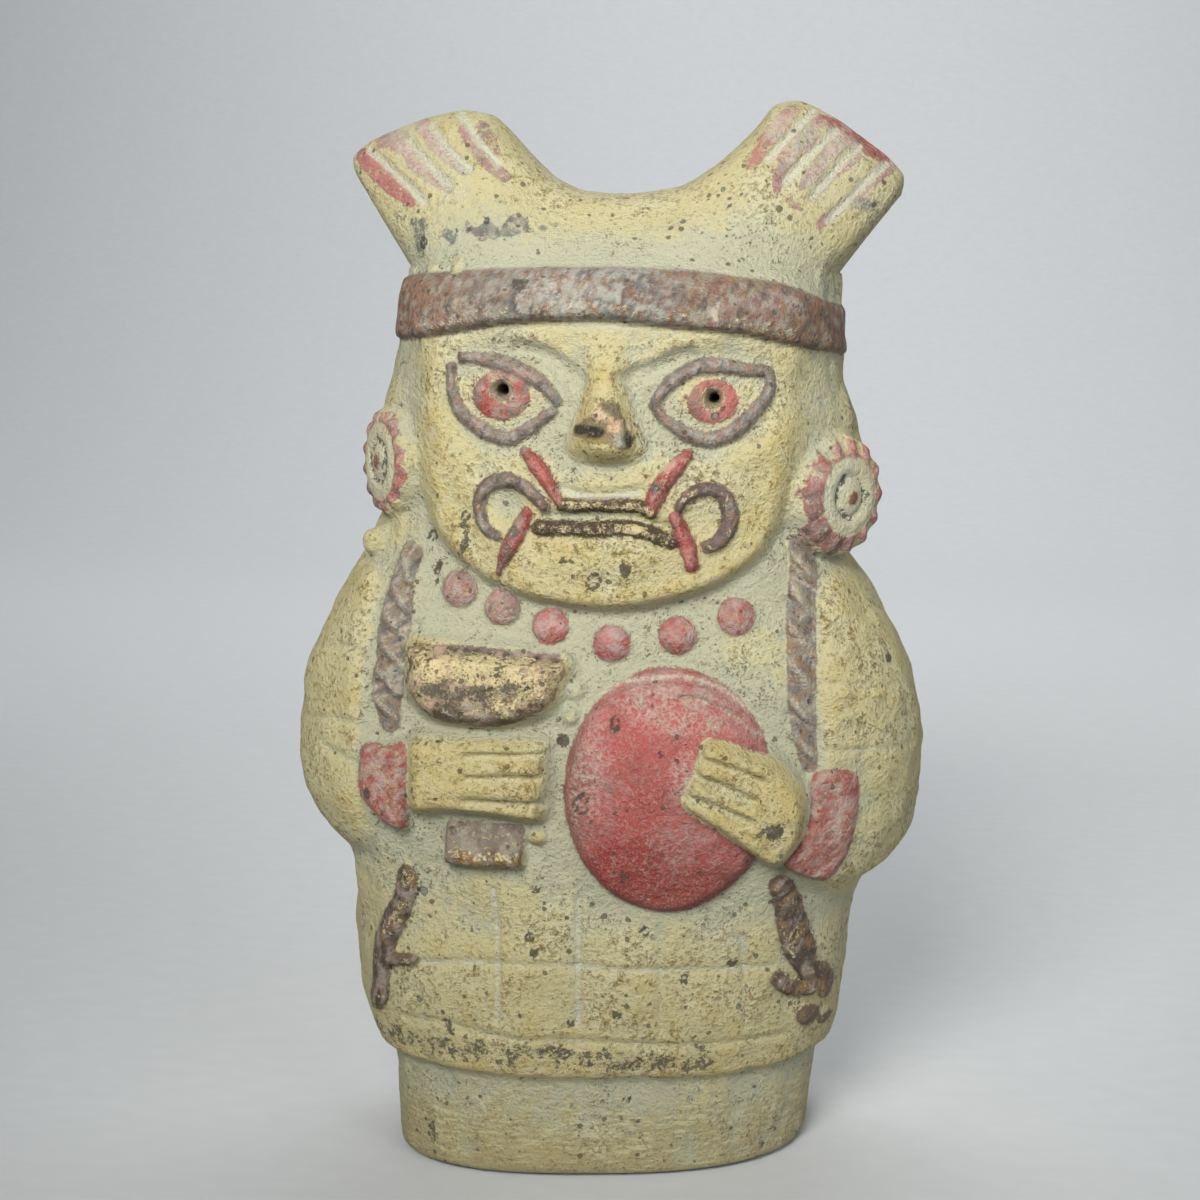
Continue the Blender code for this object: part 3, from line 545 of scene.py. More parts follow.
for places in FLUTES:
    relief += drawn(places, FLUTE_WIDTH, FLUTE_DEPTH)
    unpaint(strip(places, (0.6, 0.6))[0])
    chalk(places, 1.4, 0.95)
for middle, radii, slant in FAN_DUST:
    on_fan = ramp(oval(middle, radii, slant) + RAG, 3.0)
    mark(dust, 0.6 * on_fan)
    dapple(on_fan, ("#8f8378", "#b59a92"))
mark(stain_and_shade, 0.38 * ramp(z - BAND_TOP - 3, 4.0) * front)
BLUE_GREY = "#73776f"
BLUE_SMEARS = (
    ((-20.4, 131.4), (2.6, 0.9)),
    ((-16.6, 132.0), (2.6, 1.0)),
    ((-12.6, 132.7), (2.4, 1.1)),
    ((-8.6, 132.4), (1.6, 0.7)),
    ((34.8, 136.6), (2.2, 1.3)),
    ((-26.0, 131.2), (0.8, 1.6)),
)
for middle, radii in BLUE_SMEARS:
    paint(oval(middle, radii) + 1.4 * RAG, BLUE_GREY, 0.42)

# The headband, a strip of the mould's relief that stands out round the head below the crest. It is brushed
# with plum-brown slip, which is darker along its lower edge and has more polish and painted glints there.
BAND_EDGES = (
    (-34.0, 117.0, 125.4),
    (-24.0, 117.6, 126.2),
    (-10.0, 119.7, 126.8),
    (1.0, 120.2, 127.0),
    (11.0, 119.3, 126.8),
    (18.0, 118.8, 126.1),
    (24.0, 117.7, 125.3),
    (29.0, 116.8, 123.7),
    (34.0, 115.8, 122.4),
)
BAND_RISE = 1.8
BAND_SWELL = 0.5
BAND_PLUM = "#81735f"
BAND_TINTS = (
    ((-28.0, 121.5), (6.0, 5.0), "#87634d"),
    ((29.0, 121.0), (5.0, 5.0), "#86664e"),
    ((18.5, 125.6), (8.0, 1.4), "#8c6c4e"),
    ((21.5, 122.4), (5.0, 2.4), "#8d7871"),
    ((26.0, 118.6), (6.0, 1.8), "#7d6d4d"),
    ((-13.0, 122.6), (4.0, 3.0), "#61524a"),
    ((7.0, 123.0), (5.0, 3.0), "#6b564f"),
)
BAND_DUST = (
    ((-4.0, 123.6), (5.6, 3.0), 0.50),
    ((-16.0, 121.6), (4.0, 1.8), 0.30),
    ((15.8, 120.6), (0.7, 1.8), 0.8),
)
BAND_LUMPS = (((-23.2, 127.0), (1.3, 0.9), 0.9), ((-19.4, 127.3), (1.2, 1.5), 1.3))
band_low = along(x, column(BAND_EDGES, 0), column(BAND_EDGES, 1))
band_high = along(x, column(BAND_EDGES, 0), column(BAND_EDGES, 2))
band_half = (band_high - band_low) / 2
band_edge = band_half - np.abs(z - (band_low + band_high) / 2)
band = np.clip(1 - (1 - np.clip(band_edge / band_half, 0, 1)) ** 6, 0, 1) ** 0.5
relief += BAND_RISE * band
swell += BAND_SWELL * band
paint(np.minimum(band_edge + 0.1, 10 * front - 4 + 2 * RAG), BAND_PLUM, 0.06)
on_band = ramp(band_edge, 1.0)
mark(stain_and_shade, on_band * (0.38 + 0.2 * ramp(band_low + 1.0 - z, 1.2)))
mark(dust, 0.18 * on_band)
mark(polish_and_sheen, on_band * (0.36 + 0.2 * ramp(band_low + 2.4 - z, 2.0)))
for middle, radii, colour in BAND_TINTS:
    tint(on_band * ramp(oval(middle, radii) + 2 * RAG, 2.4), colour)
dapple(0.8 * on_band, ("#8f6747", "#4f4943", "#7a584c", "#928e7e"), 0.7, 1)
dapple(0.7 * on_band * ramp(12 - np.abs(x + 2), 8), ("#abac9f", "#4c5154", "#9fa197"), 0.5, 1)
for middle, radii, amount in BAND_DUST:
    mark(dust, amount * on_band * ramp(oval(middle, radii) + 2 * RAG, 2.0))
mark(dust, 0.6 * ramp(0.7 - np.abs(z - band_high - 0.5), 1.2) * front)
mark(dust, 0.6 * ramp(0.6 - np.abs(z - band_low + 0.9), 0.9) * ramp(24 - np.abs(x - 2), 6) * front)

# Two small lumps of clay caught on the band's upper edge.
for middle, radii, rise in BAND_LUMPS:
    edge = oval(middle, radii)
    relief += rounded(edge, min(radii), rise)
    unpaint(edge)
    mark(polish_and_sheen, 0.62 * ramp(edge, 0.6))
    mark(stain_and_shade, 0.6 * ramp(0.3 - np.abs(edge), 0.3))

# The face, pressed out over the collar in the front mould: brows, cheeks, chin and a broad nose, whose ridge
# is polished with painted sheen. The tip of the nose has broken off and shows the clay's dark and pink core,
# with a painted shadow along the break's right edge.
FACE = (
    (-22.5, 124.0), (-23.4, 110.0), (-23.4, 98.5), (-20.8, 90.6), (-12.2, 84.4), (1.6, 82.0), (14.8, 84.6),
    (22.4, 90.0), (26.4, 98.5), (27.4, 110.0), (26.0, 124.0),
)
FACE_RISE = 3.2
FACE_SLOPE = (2.4, 4.6)
FACE_SWELLS = (((1.8, 95.0), (20.0, 9.5), 1.6), ((1.6, 87.4), (16.0, 6.5), 1.0))
BROW_CREASES = (
    ((-1.7, 112.3), (-3.7, 113.8), (-5.5, 115.1), (-7.8, 115.9), (-9.8, 116.2)),
    ((4.0, 112.4), (6.2, 113.2), (8.1, 114.0), (10.3, 115.0), (12.6, 115.8)),
)
CREASE_WIDTH = 3.0
CREASE_DEPTH = 1.1
NOSE_MIDDLE = 1.9
NOSE = (
    (101.2, 3.8, 0.0),
    (102.3, 5.2, 2.6),
    (103.7, 5.9, 4.8),
    (105.4, 5.3, 5.7),
    (107.2, 4.4, 5.7),
    (109.8, 3.6, 4.3),
    (112.3, 3.3, 2.8),
    (119.5, 3.4, 0.0),
)
NOSE_BREAK = (
    (2.0, 109.8), (1.0, 109.4), (-0.1, 108.1), (-1.5, 106.7), (-1.8, 105.4), (-0.5, 104.6), (1.6, 104.4),
    (3.2, 103.8), (4.9, 103.5), (5.8, 105.0), (5.0, 107.1), (4.0, 108.9),
)
BREAK_LEVEL = 4.6
BREAK_CLAY = "#857858"
BREAK_PATCHES = (
    (((-1.1, 104.7), (1.6, 105.0), (3.2, 104.0), (4.4, 103.5), (2.1, 102.4), (-0.4, 103.1)), "#8b7845"),
    (
        ((1.5, 109.5), (3.0, 109.3), (4.2, 108.4), (4.7, 107.3), (3.9, 107.0), (2.3, 107.4), (1.9, 108.4)),
        "#736c51",
    ),
    (((0.4, 108.8), (1.5, 109.3), (2.1, 108.0), (2.0, 106.8), (1.1, 106.6), (0.3, 107.3)), "#c4ae8c"),
    (((2.6, 107.0), (4.3, 107.4), (4.6, 106.3), (3.9, 105.6), (2.8, 105.8)), "#c3a587"),
    (((3.2, 105.1), (4.6, 105.6), (5.0, 104.5), (4.4, 103.8), (3.2, 103.9)), "#a19d8a"),
    (
        ((-1.6, 105.6), (-1.3, 106.6), (0.3, 106.8), (1.6, 106.6), (2.2, 105.8), (2.1, 105.2), (0.5, 105.1)),
        "#2c291c",
    ),
    # Painted shadow: a dark strip along the break's right edge, where it meets the steep side of the nose.
    (((4.5, 107.8), (5.1, 106.5), (5.8, 105.2), (5.4, 103.9), (5.0, 104.8), (4.6, 106.1)), "#2b2a22"),
)
relief += FACE_RISE * ramp(shape(FACE), FACE_SLOPE[0] + FACE_SLOPE[1] * ramp(z - 98, 14))
for middle, radii, rise in FACE_SWELLS:
    relief += rounded(oval(middle, radii), min(radii), rise, 1.0)
for places in BROW_CREASES:
    relief += drawn(places, CREASE_WIDTH, CREASE_DEPTH)
nose_half = along(z, column(NOSE, 0), column(NOSE, 1))
nose_rise = along(z, column(NOSE, 0), column(NOSE, 2))
nose = nose_rise * np.clip(1 - ((x - NOSE_MIDDLE) / nose_half) ** 2, 0, 1) ** 1.25
nose_break = shape(NOSE_BREAK) + RAG
relief += np.minimum(nose, np.where(nose_break > 0, BREAK_LEVEL - 0.6 * ramp(nose_break - 0.3, 1.2), nose))
# Polish with a painted highlight along the nose's ridge.
mark(polish_and_sheen, 0.5 * ramp(nose - 1.5, 2.0) * (nose_break < 0))
paint(nose_break, BREAK_CLAY, 0.0)
for outline, colour in BREAK_PATCHES:
    patch = shape(outline) + 0.9 * RAG
    relief += 0.4 * ramp(patch, 0.4) * (nose_break > 0)
    tint(ramp(patch, 0.3) * (nose_break > 0), colour)

# The eyes: a rolled rim of clay in plum slip, a red iris, and a pupil pierced through the wall while the clay
# was wet, with a chipped funnel at its mouth.
EYES = ((-12.2, 110.2), (16.0, 109.8))
SOCKET = ((10.5, 8.4), -1.7)
EYEBALL = ((7.6, 5.2), 1.4)
IRISES = (((-12.2, 110.1), (3.9, 3.2)), ((15.8, 109.8), (3.3, 2.9)))
PUPILS = ((-12.1, 110.8), (15.9, 110.2))
PUPIL_BORE = ((-30.0, 1.35), (-15.6, 0.15))
FUNNEL = 1.9
FUNNEL_DEPTH = 1.9
UPPER_LIDS = (
    ((-17.9, 115.0), (-14.5, 114.8), (-11.4, 114.1), (-8.7, 113.1), (-6.4, 111.5), (-4.7, 109.5)),
    ((8.1, 109.3), (9.5, 111.4), (11.5, 113.1), (13.9, 114.3), (17.2, 114.5), (20.2, 114.0), (22.9, 113.9)),
)
LOWER_LIDS = (
    (
        (-19.4, 113.8), (-19.1, 111.0), (-18.1, 108.2), (-16.0, 106.1), (-12.9, 104.7), (-10.8, 104.5),
        (-8.4, 105.8), (-6.4, 107.3), (-5.2, 108.1),
    ),
    (
        (8.3, 109.0), (9.8, 107.2), (12.9, 105.3), (15.8, 104.8), (18.8, 106.0), (21.2, 108.4),
        (22.9, 110.7), (23.3, 112.4), (22.9, 113.6),
    ),
)
LID_WIDTHS = (1.3, 1.9, 2.2, 1.9, 1.3)
LID_RISE = 1.4
LID_PLUM = "#85796d"
IRIS_REDS = ("#a6514a", "#aa625b")
BORE_BROWN = "#84785c"
BORE_MOUTH = 0.9
IRIS_TINTS = (
    ((-11.6, 112.6), (2.8, 0.8), "#bf9285"),
    ((-14.8, 108.9), (1.2, 2.4), "#9c3f37"),
    ((13.4, 109.8), (1.0, 2.4), "#96705f"),
    ((17.9, 109.6), (1.0, 2.2), "#b0635c"),
)
for middle, (iris_middle, iris_radii), pupil, upper, lower, colour in zip(
    EYES, IRISES, PUPILS, UPPER_LIDS, LOWER_LIDS, IRIS_REDS
):
    for radii, rise in (SOCKET, EYEBALL):
        relief += rounded(oval(middle, radii), min(radii), rise, 1.0 if rise < 0 else 0.8)
    iris = oval(iris_middle, iris_radii)
    relief += rounded(iris, min(iris_radii), 0.5, 0.4)
    rims = []
    for places in (upper, lower):
        edge, rim = coil(places, LID_WIDTHS, LID_RISE)
        rims.append(rim)
        paint(edge, LID_PLUM, 0.16)
        on_lid = ramp(edge, 0.6)
        mark(dust, 0.34 * on_lid)
        mark(stain_and_shade, 0.42 * ramp(edge + 0.3, 0.6))
        dapple(0.8 * on_lid, ("#697071", "#8c6a58", "#96938a", "#554e4a"), 0.6, 1)
    relief += np.maximum(*rims)
    paint(iris, colour, 0.12)
    mark(dust, 0.2 * ramp(iris, 0.8))
    dapple(0.5 * ramp(iris, 0.6), ("#b8807a", "#8f4640", "#b59a90"), 0.6, 1)
    funnel = oval(pupil, (FUNNEL, FUNNEL))
    relief -= FUNNEL_DEPTH * ramp(funnel - 0.85, 1.3)
    unpaint(funnel - 0.2 + 0.7 * RAG)
    mark(polish_and_sheen, 0.7 * ramp(0.2 - np.abs(funnel - 0.3), 0.3))
    paint(funnel - 0.5 + 0.5 * RAG, BORE_BROWN, 0.0)
    mark(stain_and_shade, 0.4 * ramp(funnel - 0.5, 0.3))
for middle, radii, colour in IRIS_TINTS:
    tint(ramp(oval(middle, radii), 1.0), colour)

# The mouth: two thin lips, a scroll at each corner and four fangs that cross them, all in low relief of the
# same clay. The fangs are red slip and the rest is plum and brown.
LIPS = (
    (((-3.6, 95.9), (-1.8, 95.8), (0.1, 96.0), (2.1, 96.1), (4.7, 96.1), (6.8, 95.9), (8.0, 95.2)), 1.9),
    (((-6.8, 92.8), (-1.8, 92.8), (1.5, 92.9), (4.8, 93.1), (7.4, 92.7), (9.4, 91.9), (11.0, 91.4)), 2.1),
)
LIP_LEDGE = ((-3.9, 97.9), (-1.4, 97.3), (1.3, 97.2), (3.9, 97.4), (6.6, 97.9))
LIP_PARTING = ((-6.0, 94.3), (-2.0, 94.5), (1.4, 94.7), (5.3, 94.6), (8.0, 93.9), (10.2, 93.2))
SCROLLS = (
    (
        (
            (-6.1, 95.7), (-7.2, 96.8), (-8.5, 97.8), (-10.3, 98.7), (-12.0, 98.9), (-13.7, 98.2),
            (-14.8, 96.9), (-15.2, 95.1), (-14.8, 93.3), (-13.7, 92.0), (-12.4, 91.4),
        ),
        (1.6, 2.0, 2.2, 1.9, 1.7, 1.3),
    ),
    (
        (
            (11.8, 95.9), (12.5, 97.0), (13.8, 97.9), (15.7, 98.3), (17.3, 97.6), (18.2, 95.9),
            (18.4, 94.3), (17.9, 92.6), (16.9, 91.3), (15.8, 90.7),
        ),
        (1.4, 1.8, 2.1, 2.4, 2.3, 2.0),
    ),
)
FANGS = (
    (((-8.9, 102.9), (-7.2, 101.0), (-5.7, 99.0), (-4.7, 97.3), (-3.8, 95.6)), (1.0, 2.2, 2.0, 1.5, 0.8)),
    (((12.7, 102.7), (11.2, 101.0), (9.7, 99.2), (8.7, 97.4), (8.2, 95.4)), (1.6, 2.2, 2.2, 2.3, 1.6)),
    (((-8.5, 94.7), (-9.4, 92.5), (-10.5, 90.5), (-11.6, 88.4), (-12.3, 86.4)), (1.5, 2.1, 2.4, 1.6, 0.6)),
    (((11.2, 94.6), (12.3, 92.4), (13.1, 90.5), (13.6, 88.2)), (1.5, 2.0, 2.1, 1.7)),
)
LIP_RISE = 1.0
SCROLL_RISE = 1.3
SCROLL_HOLLOW = (4.0, -0.9)
FANG_RISE = 1.6
SCROLL_PLUM = "#705e5a"
LIP_BROWN = "#463a27"
FANG_RED = "#9f443d"
MOUTH_TINTS = (
    ((10.3, 101.3), (1.3, 0.5), 38.0, "#cf9c8f"),
    ((-6.4, 100.0), (0.5, 1.4), 30.0, "#b2625a"),
    ((8.7, 98.5), (0.7, 0.7), 0.0, "#39404a"),
    ((-10.2, 92.2), (0.7, 0.9), 0.0, "#3c4048"),
    ((-11.4, 89.0), (0.4, 1.6), -25.0, "#5c2520"),
)
CHIN_STAIN = ((1.6, 87.0), (13.0, 5.0))
relief += drawn(LIP_LEDGE, 2.0, 0.7) + drawn(LIP_PARTING, 1.6, 0.7)
chalk(LIP_LEDGE, 1.4, 0.7)
mouth = np.zeros_like(x)
for places, width in LIPS:
    edge, height = coil(places, (width, width), LIP_RISE)
    mouth = np.maximum(mouth, height)
    paint(edge, LIP_BROWN, 0.30)
    mark(polish_and_sheen, ramp(edge - 0.2, 0.5) * (0.66 + 0.06 * roughness(4)))
    mark(stain_and_shade, 0.52 * ramp(edge, 0.6))
for places, widths in SCROLLS:
    radius, rise = SCROLL_HOLLOW
    relief += rounded(oval(np.mean(places, axis=0), (radius, radius)), radius, rise, 1.0)
    edge, height = coil(places, widths, SCROLL_RISE)
    mouth = np.maximum(mouth, height)
    paint(edge, SCROLL_PLUM, 0.14)
    mark(polish_and_sheen, ramp(edge - 0.3, 0.5) * (0.6 + 0.06 * roughness(4)))
    mark(stain_and_shade, 0.46 * ramp(edge + 0.2, 0.6))
    dapple(0.7 * ramp(edge, 0.6), ("#8f8a80", "#8a6a4c", "#4d4744"), 0.6, 1)
for places, widths in FANGS:
    edge, height = coil(places, widths, FANG_RISE)
    mouth = np.maximum(mouth, height)
    paint(edge + 0.05, FANG_RED, 0.10)
    mark(polish_and_sheen, 0.5 * ramp(edge - 0.4, 0.5))
    mark(dust, 0.3 * ramp(edge, 0.6))
    dapple(0.6 * ramp(edge, 0.6), ("#b9837b", "#7d332d"), 0.6, 1)
for middle, radii, slant, colour in MOUTH_TINTS:
    tint(ramp(oval(middle, radii, slant), 0.6), colour)
relief += mouth
mark(stain_and_shade, 0.4 * ramp(oval(*CHIN_STAIN) + RAG, 2.0))

# What is worn on the chest: a collar of round beads in red slip, each with a painted highlight above and left
# of its middle, and two twisted braids in dusty plum slip, moulded with the body. The braids have painted
# glints on their raised twists and painted shade in the hollows between them, and a painted shadow lies
# beside the braid at the viewer's left.
BEADS = (
    ((-18.2, 83.7), "#a1736d", 0.26),
    ((-12.0, 81.6), "#a8736d", 0.24),
    ((-5.4, 79.2), "#a0524c", 0.10),
    ((3.0, 77.2), "#a4524c", 0.08),
    ((11.8, 78.4), "#a5544e", 0.10),
    ((19.5, 81.0), "#a05f59", 0.16),
)
BEAD_RADIUS = 2.6
BEAD_RISE = 1.7
BEAD_HIGHLIGHT = "#c29a92"
BRAIDS = (
    (
        (
            (-25.6, 88.0), (-26.4, 85.0), (-26.8, 81.6), (-27.2, 78.4), (-27.5, 75.0), (-27.6, 71.7),
            (-27.9, 68.4), (-27.4, 65.2),
        ),
        (3.2, 3.6, 4.6, 4.8, 4.8, 2.6),
    ),
    (
        (
            (27.6, 90.4), (28.0, 88.4), (28.2, 85.0), (28.2, 80.5), (28.3, 76.6), (28.5, 71.4),
            (29.0, 65.9), (29.8, 61.0),
        ),
        (3.4, 3.8, 4.0, 4.0, 3.8, 3.4, 2.2),
    ),
)
BRAID_RISE = 2.0
BRAID_TURNS = 6
BRAID_SLANT = 0.9
BRAID_PLUM = "#8b7e6d"
BRAID_PARTINGS = (
    ((-29.8, 75.8), (-27.1, 77.3), (-23.8, 78.4)),
    ((-30.6, 69.1), (-28.2, 70.7), (-25.4, 71.6)),
    ((26.3, 86.3), (28.2, 85.3), (30.2, 83.9)),
    ((26.3, 83.0), (30.2, 81.2)),
    ((25.2, 78.2), (27.8, 78.0), (29.2, 76.6), (30.0, 74.4)),
    ((26.4, 75.4), (28.1, 72.9), (30.3, 70.7)),
    ((26.8, 68.0), (30.4, 65.9)),
)
BRAID_SHADOW = ((-23.6, 78.1), (-23.8, 74.3), (-25.4, 69.7))
dress = np.zeros_like(x)
for middle, colour, wear in BEADS:
    edge = oval(middle, (BEAD_RADIUS, BEAD_RADIUS))
    dress = np.maximum(dress, rounded(edge, BEAD_RADIUS, BEAD_RISE))
    paint(edge - 0.1, colour, wear)
    mark(dust, 0.3 * ramp(edge, 1.0))
    dapple(0.7 * ramp(edge, 1.0), ("#94504a", "#b99a94", "#9b8d86"), 0.5, 1)
    # A painted highlight: a paler patch above and left of each bead's middle.
    tint(0.3 * ramp(oval((middle[0] - 0.6, middle[1] + 0.7), (1.4, 1.1)), 1.4), BEAD_HIGHLIGHT)
for places, widths in BRAIDS:
    edge, half, share, side = strip(places, widths)
    wave = np.cos(2 * np.pi * (share * BRAID_TURNS + BRAID_SLANT * side / half / 2))
    dress = np.maximum(dress, rounded(edge, half, BRAID_RISE) * (0.62 - 0.38 * wave))
    # The raised twists get pale dust and polish with painted glints, and the hollows between them painted
    # shade.
    mark(dust, 0.6 * ramp(edge, 0.8) * ramp(-wave - 0.4, 0.5))
    mark(stain_and_shade, 0.52 * ramp(edge + 0.2, 0.8) * ramp(wave - 0.5, 0.6))
    paint(edge, BRAID_PLUM, 0.18)
    mark(polish_and_sheen, 0.5 * ramp(edge - 0.6, 0.8) * ramp(0.3 - wave, 0.8))
    dapple(0.7 * ramp(edge, 0.8), ("#8f6f53", "#aba898", "#636666"), 0.5, 1)
lines = np.zeros_like(x)
for places in BRAID_PARTINGS:
    lines += drawn(places, 1.2, 0.5)
    chalk(places, 0.9, 0.6)
mark(stain_and_shade, 0.7 * ramp(strip(BRAID_SHADOW, (0.9, 0.9))[0], 0.5))

# The sleeved arms, moulded with the body, with lines drawn across the sleeves in the wet clay and cuffs in
# red slip. Crusts of clay stick to the shoulder at the viewer's right.
LEFT_ARM = (
    (-56.0, 90.0), (-33.5, 86.0), (-31.6, 76.0), (-31.6, 65.0), (-31.0, 50.0), (-36.5, 45.0),
    (-56.0, 42.0),
)
RIGHT_ARM = (
    (56.0, 90.0), (32.6, 86.0), (31.0, 76.0), (31.0, 62.0), (27.0, 49.0), (31.0, 43.4), (38.0, 39.0),
    (56.0, 36.0),
)
SLEEVE_LINES = (
    ((-42.0, 73.2), (-36.0, 74.6), (-32.4, 74.6)),
    ((-40.6, 64.2), (-36.5, 64.8), (-33.3, 64.8), (-30.7, 64.1)),
    ((-36.7, 60.7), (-32.1, 59.1)),
    ((31.4, 72.1), (42.4, 70.5)),
    ((32.6, 62.9), (44.0, 62.2)),
)
SHOULDER_CRUSTS = (((34.1, 81.4), 1.6), ((34.9, 76.2), 1.4), ((34.3, 71.0), 1.2), ((39.2, 70.4), 1.3))
LEFT_CUFF = (
    (-31.1, 61.7), (-31.6, 57.8), (-31.1, 55.0), (-29.3, 52.9), (-27.5, 51.3), (-24.6, 51.2),
    (-24.4, 55.8), (-24.4, 59.1), (-24.6, 62.8), (-27.4, 62.4),
)
RIGHT_CUFF = (
    (30.2, 59.4), (30.2, 54.5), (29.1, 50.7), (26.7, 47.2), (29.0, 45.3), (32.4, 44.0), (34.9, 46.7),
    (36.3, 51.3), (36.9, 55.6), (36.4, 59.3), (33.3, 60.3),
)
ARM_RISE = 1.8
CUFF_RISE = 3.0
CUFF_RED = "#a0554e"
CUFF_SCRATCH = ((33.8, 58.0), (34.1, 54.2), (34.0, 50.5))
CUFF_SPOT = ((-30.0, 55.7), (0.6, 0.9))
arms = ARM_RISE * np.maximum(ramp(shape(LEFT_ARM), 4.0), ramp(shape(RIGHT_ARM), 4.0))
for places in SLEEVE_LINES:
    lines += drawn(places, 1.3, 0.5)
    chalk(places, 1.0, 0.4)
for middle, radius in SHOULDER_CRUSTS:
    arms += rounded(oval(middle, (radius, radius)), radius, 0.5)
for outline in (LEFT_CUFF, RIGHT_CUFF):
    edge = shape(outline)
    arms = np.maximum(arms, CUFF_RISE * ramp(edge, 1.8))
    paint(edge, CUFF_RED, 0.24)
    mark(dust, 0.32 * ramp(edge, 1.0))
    mark(stain_and_shade, 0.3 * ramp(edge, 1.0))
    dapple(0.7 * ramp(edge, 1.0), ("#8a4a42", "#b59c92", "#a9958a"), 0.6, 1)
tint(0.7 * ramp(strip(CUFF_SCRATCH, (1.0, 1.0))[0] + RAG, 0.8), "#c0aa9c")
mark(stain_and_shade, ramp(oval(*CUFF_SPOT), 0.6))

# The round shield that one hand grips by its edge: a low dome of the same clay under red slip, with two lines
# drawn along its upper edge and a painted shadow just under each.
SHIELD = (11.1, 57.3)
SHIELD_RADII = (14.0, 16.9)
SHIELD_EDGE = 2.2
SHIELD_DOME = 2.0
EDGE_SHARE = 0.16
SHIELD_LINES = (
    ((1.7, 70.1), (4.4, 71.6), (8.4, 72.5), (12.4, 72.8), (15.7, 72.1), (18.4, 70.8), (21.6, 68.1)),
    ((13.0, 70.6), (15.2, 70.1), (17.8, 69.0), (19.8, 67.7), (21.5, 66.1), (23.2, 64.8)),
)
SHIELD_RED = "#a2544d"
# Of these tints, the slightly lighter red at the top is painted light and the two darker reds low on the
# shield are painted shade.
SHIELD_TINTS = (
    ((10.0, 66.0), (9.0, 5.0), 0.0, "#a8544e"),
    ((5.0, 47.0), (7.0, 5.0), 30.0, "#8c332d"),
    ((14.0, 44.0), (8.0, 4.0), 10.0, "#8a3c33"),
    ((-1.2, 56.0), (1.8, 9.0), 0.0, "#8b5a4c"),
    ((8.0, 56.0), (3.0, 5.0), -30.0, "#a04a44"),
)
SHIELD_DUST = (
    ((12.0, 69.0), (9.0, 4.0), -8.0, 0.55),
    ((0.5, 60.0), (3.0, 10.0), -10.0, 0.5),
    ((14.0, 60.0), (3.0, 5.0), 0.0, 0.52),
    ((11.0, 50.0), (5.0, 3.0), -30.0, 0.35),
)
shield_edge = oval(SHIELD, SHIELD_RADII)
shield_share = 1 - (1 - np.clip(shield_edge / min(SHIELD_RADII), 0, 1)) ** 2
shield = SHIELD_EDGE * np.minimum(1, shield_share / EDGE_SHARE) ** 0.6 + SHIELD_DOME * shield_share
for places in SHIELD_LINES:
    shield += drawn(places, 1.3, 1.2) * (shield_share > 0)
arms = np.maximum(arms, shield)
paint(shield_edge, SHIELD_RED, 0.05)
on_shield = ramp(shield_edge, 1.0)
mark(dust, 0.24 * on_shield)
mark(stain_and_shade, 0.26 * on_shield)
dapple(0.5 * on_shield, ("#8f433c", "#b16f69", "#a07c77"), 0.6, 1)
dapple(0.4 * on_shield * ramp(z - 62, 10), ("#b5837c", "#a98e88"), 0.2, 4)
for places in SHIELD_LINES:
    chalk([(a, b + 0.4) for a, b in places], 0.9, 0.78)
    # A painted shadow: a thin dark line just under each drawn line.
    mark(stain_and_shade, 0.5 * ramp(strip([(a, b - 0.4) for a, b in places], (0.3, 0.3))[0], 0.4))
for middle, radii, slant, colour in SHIELD_TINTS:
    tint(on_shield * ramp(oval(middle, radii, slant), 3.0), colour)
for middle, radii, slant, amount in SHIELD_DUST:
    mark(dust, amount * on_shield * ramp(oval(middle, radii, slant), 3.0))

# The two hands, moulded with the body, which stand out far and are polished there, with painted sheen. The
# grooves between the fingers were drawn in the wet clay and hold dust, with a painted shadow along the upper
# edge of each.
LEFT_HAND = (
    (-24.0, 63.4), (-24.1, 59.2), (-23.6, 54.2), (-19.1, 54.1), (-13.6, 54.0), (-6.4, 53.4), (-5.4, 56.7),
    (-5.4, 62.0), (-6.1, 64.2), (-13.9, 64.6), (-20.7, 64.4),
)
LEFT_GROOVES = (
    ((-15.6, 62.1), (-11.3, 62.3), (-6.3, 62.5)),
    ((-15.5, 59.1), (-6.5, 59.5)),
    ((-15.7, 56.0), (-6.0, 55.9)),
)
RIGHT_HAND = (
    (16.0, 65.4), (19.1, 65.0), (21.8, 63.8), (25.3, 62.3), (29.4, 57.4), (28.8, 51.0), (25.6, 47.6),
    (21.6, 50.0), (18.2, 52.6), (14.2, 55.1), (13.0, 56.9), (13.6, 59.2), (14.6, 61.6), (15.2, 63.9),
)
RIGHT_GROOVES = (
    ((15.6, 62.9), (20.0, 61.4), (23.6, 59.8)),
    ((14.8, 60.7), (18.9, 59.0), (22.6, 57.1)),
    ((13.8, 57.8), (17.6, 56.4), (22.0, 54.4)),
)
HAND_RISES = (4.3, 6.2)
for outline, grooves, rise in zip((LEFT_HAND, RIGHT_HAND), (LEFT_GROOVES, RIGHT_GROOVES), HAND_RISES):
    edge = shape(outline)
    hand = rise * ramp(edge, 3.0)
    unpaint(edge)
    # Polish with painted sheen where the hand stands out.
    mark(polish_and_sheen, 0.52 * ramp(edge - 0.8, 1.6))
    mark(stain_and_shade, 0.42 * ramp(edge, 1.0))
    for places in grooves:
        hand += drawn(places, 1.7, 1.3)
        # A painted shadow: a thin dark line along the groove's upper edge.
        mark(stain_and_shade, 0.5 * ramp(strip([(a, b + 0.4) for a, b in places], (0.3, 0.3))[0], 0.4))
        chalk([(a, b - 0.1) for a, b in places], 0.8, 0.62)
    arms = np.maximum(arms, hand)

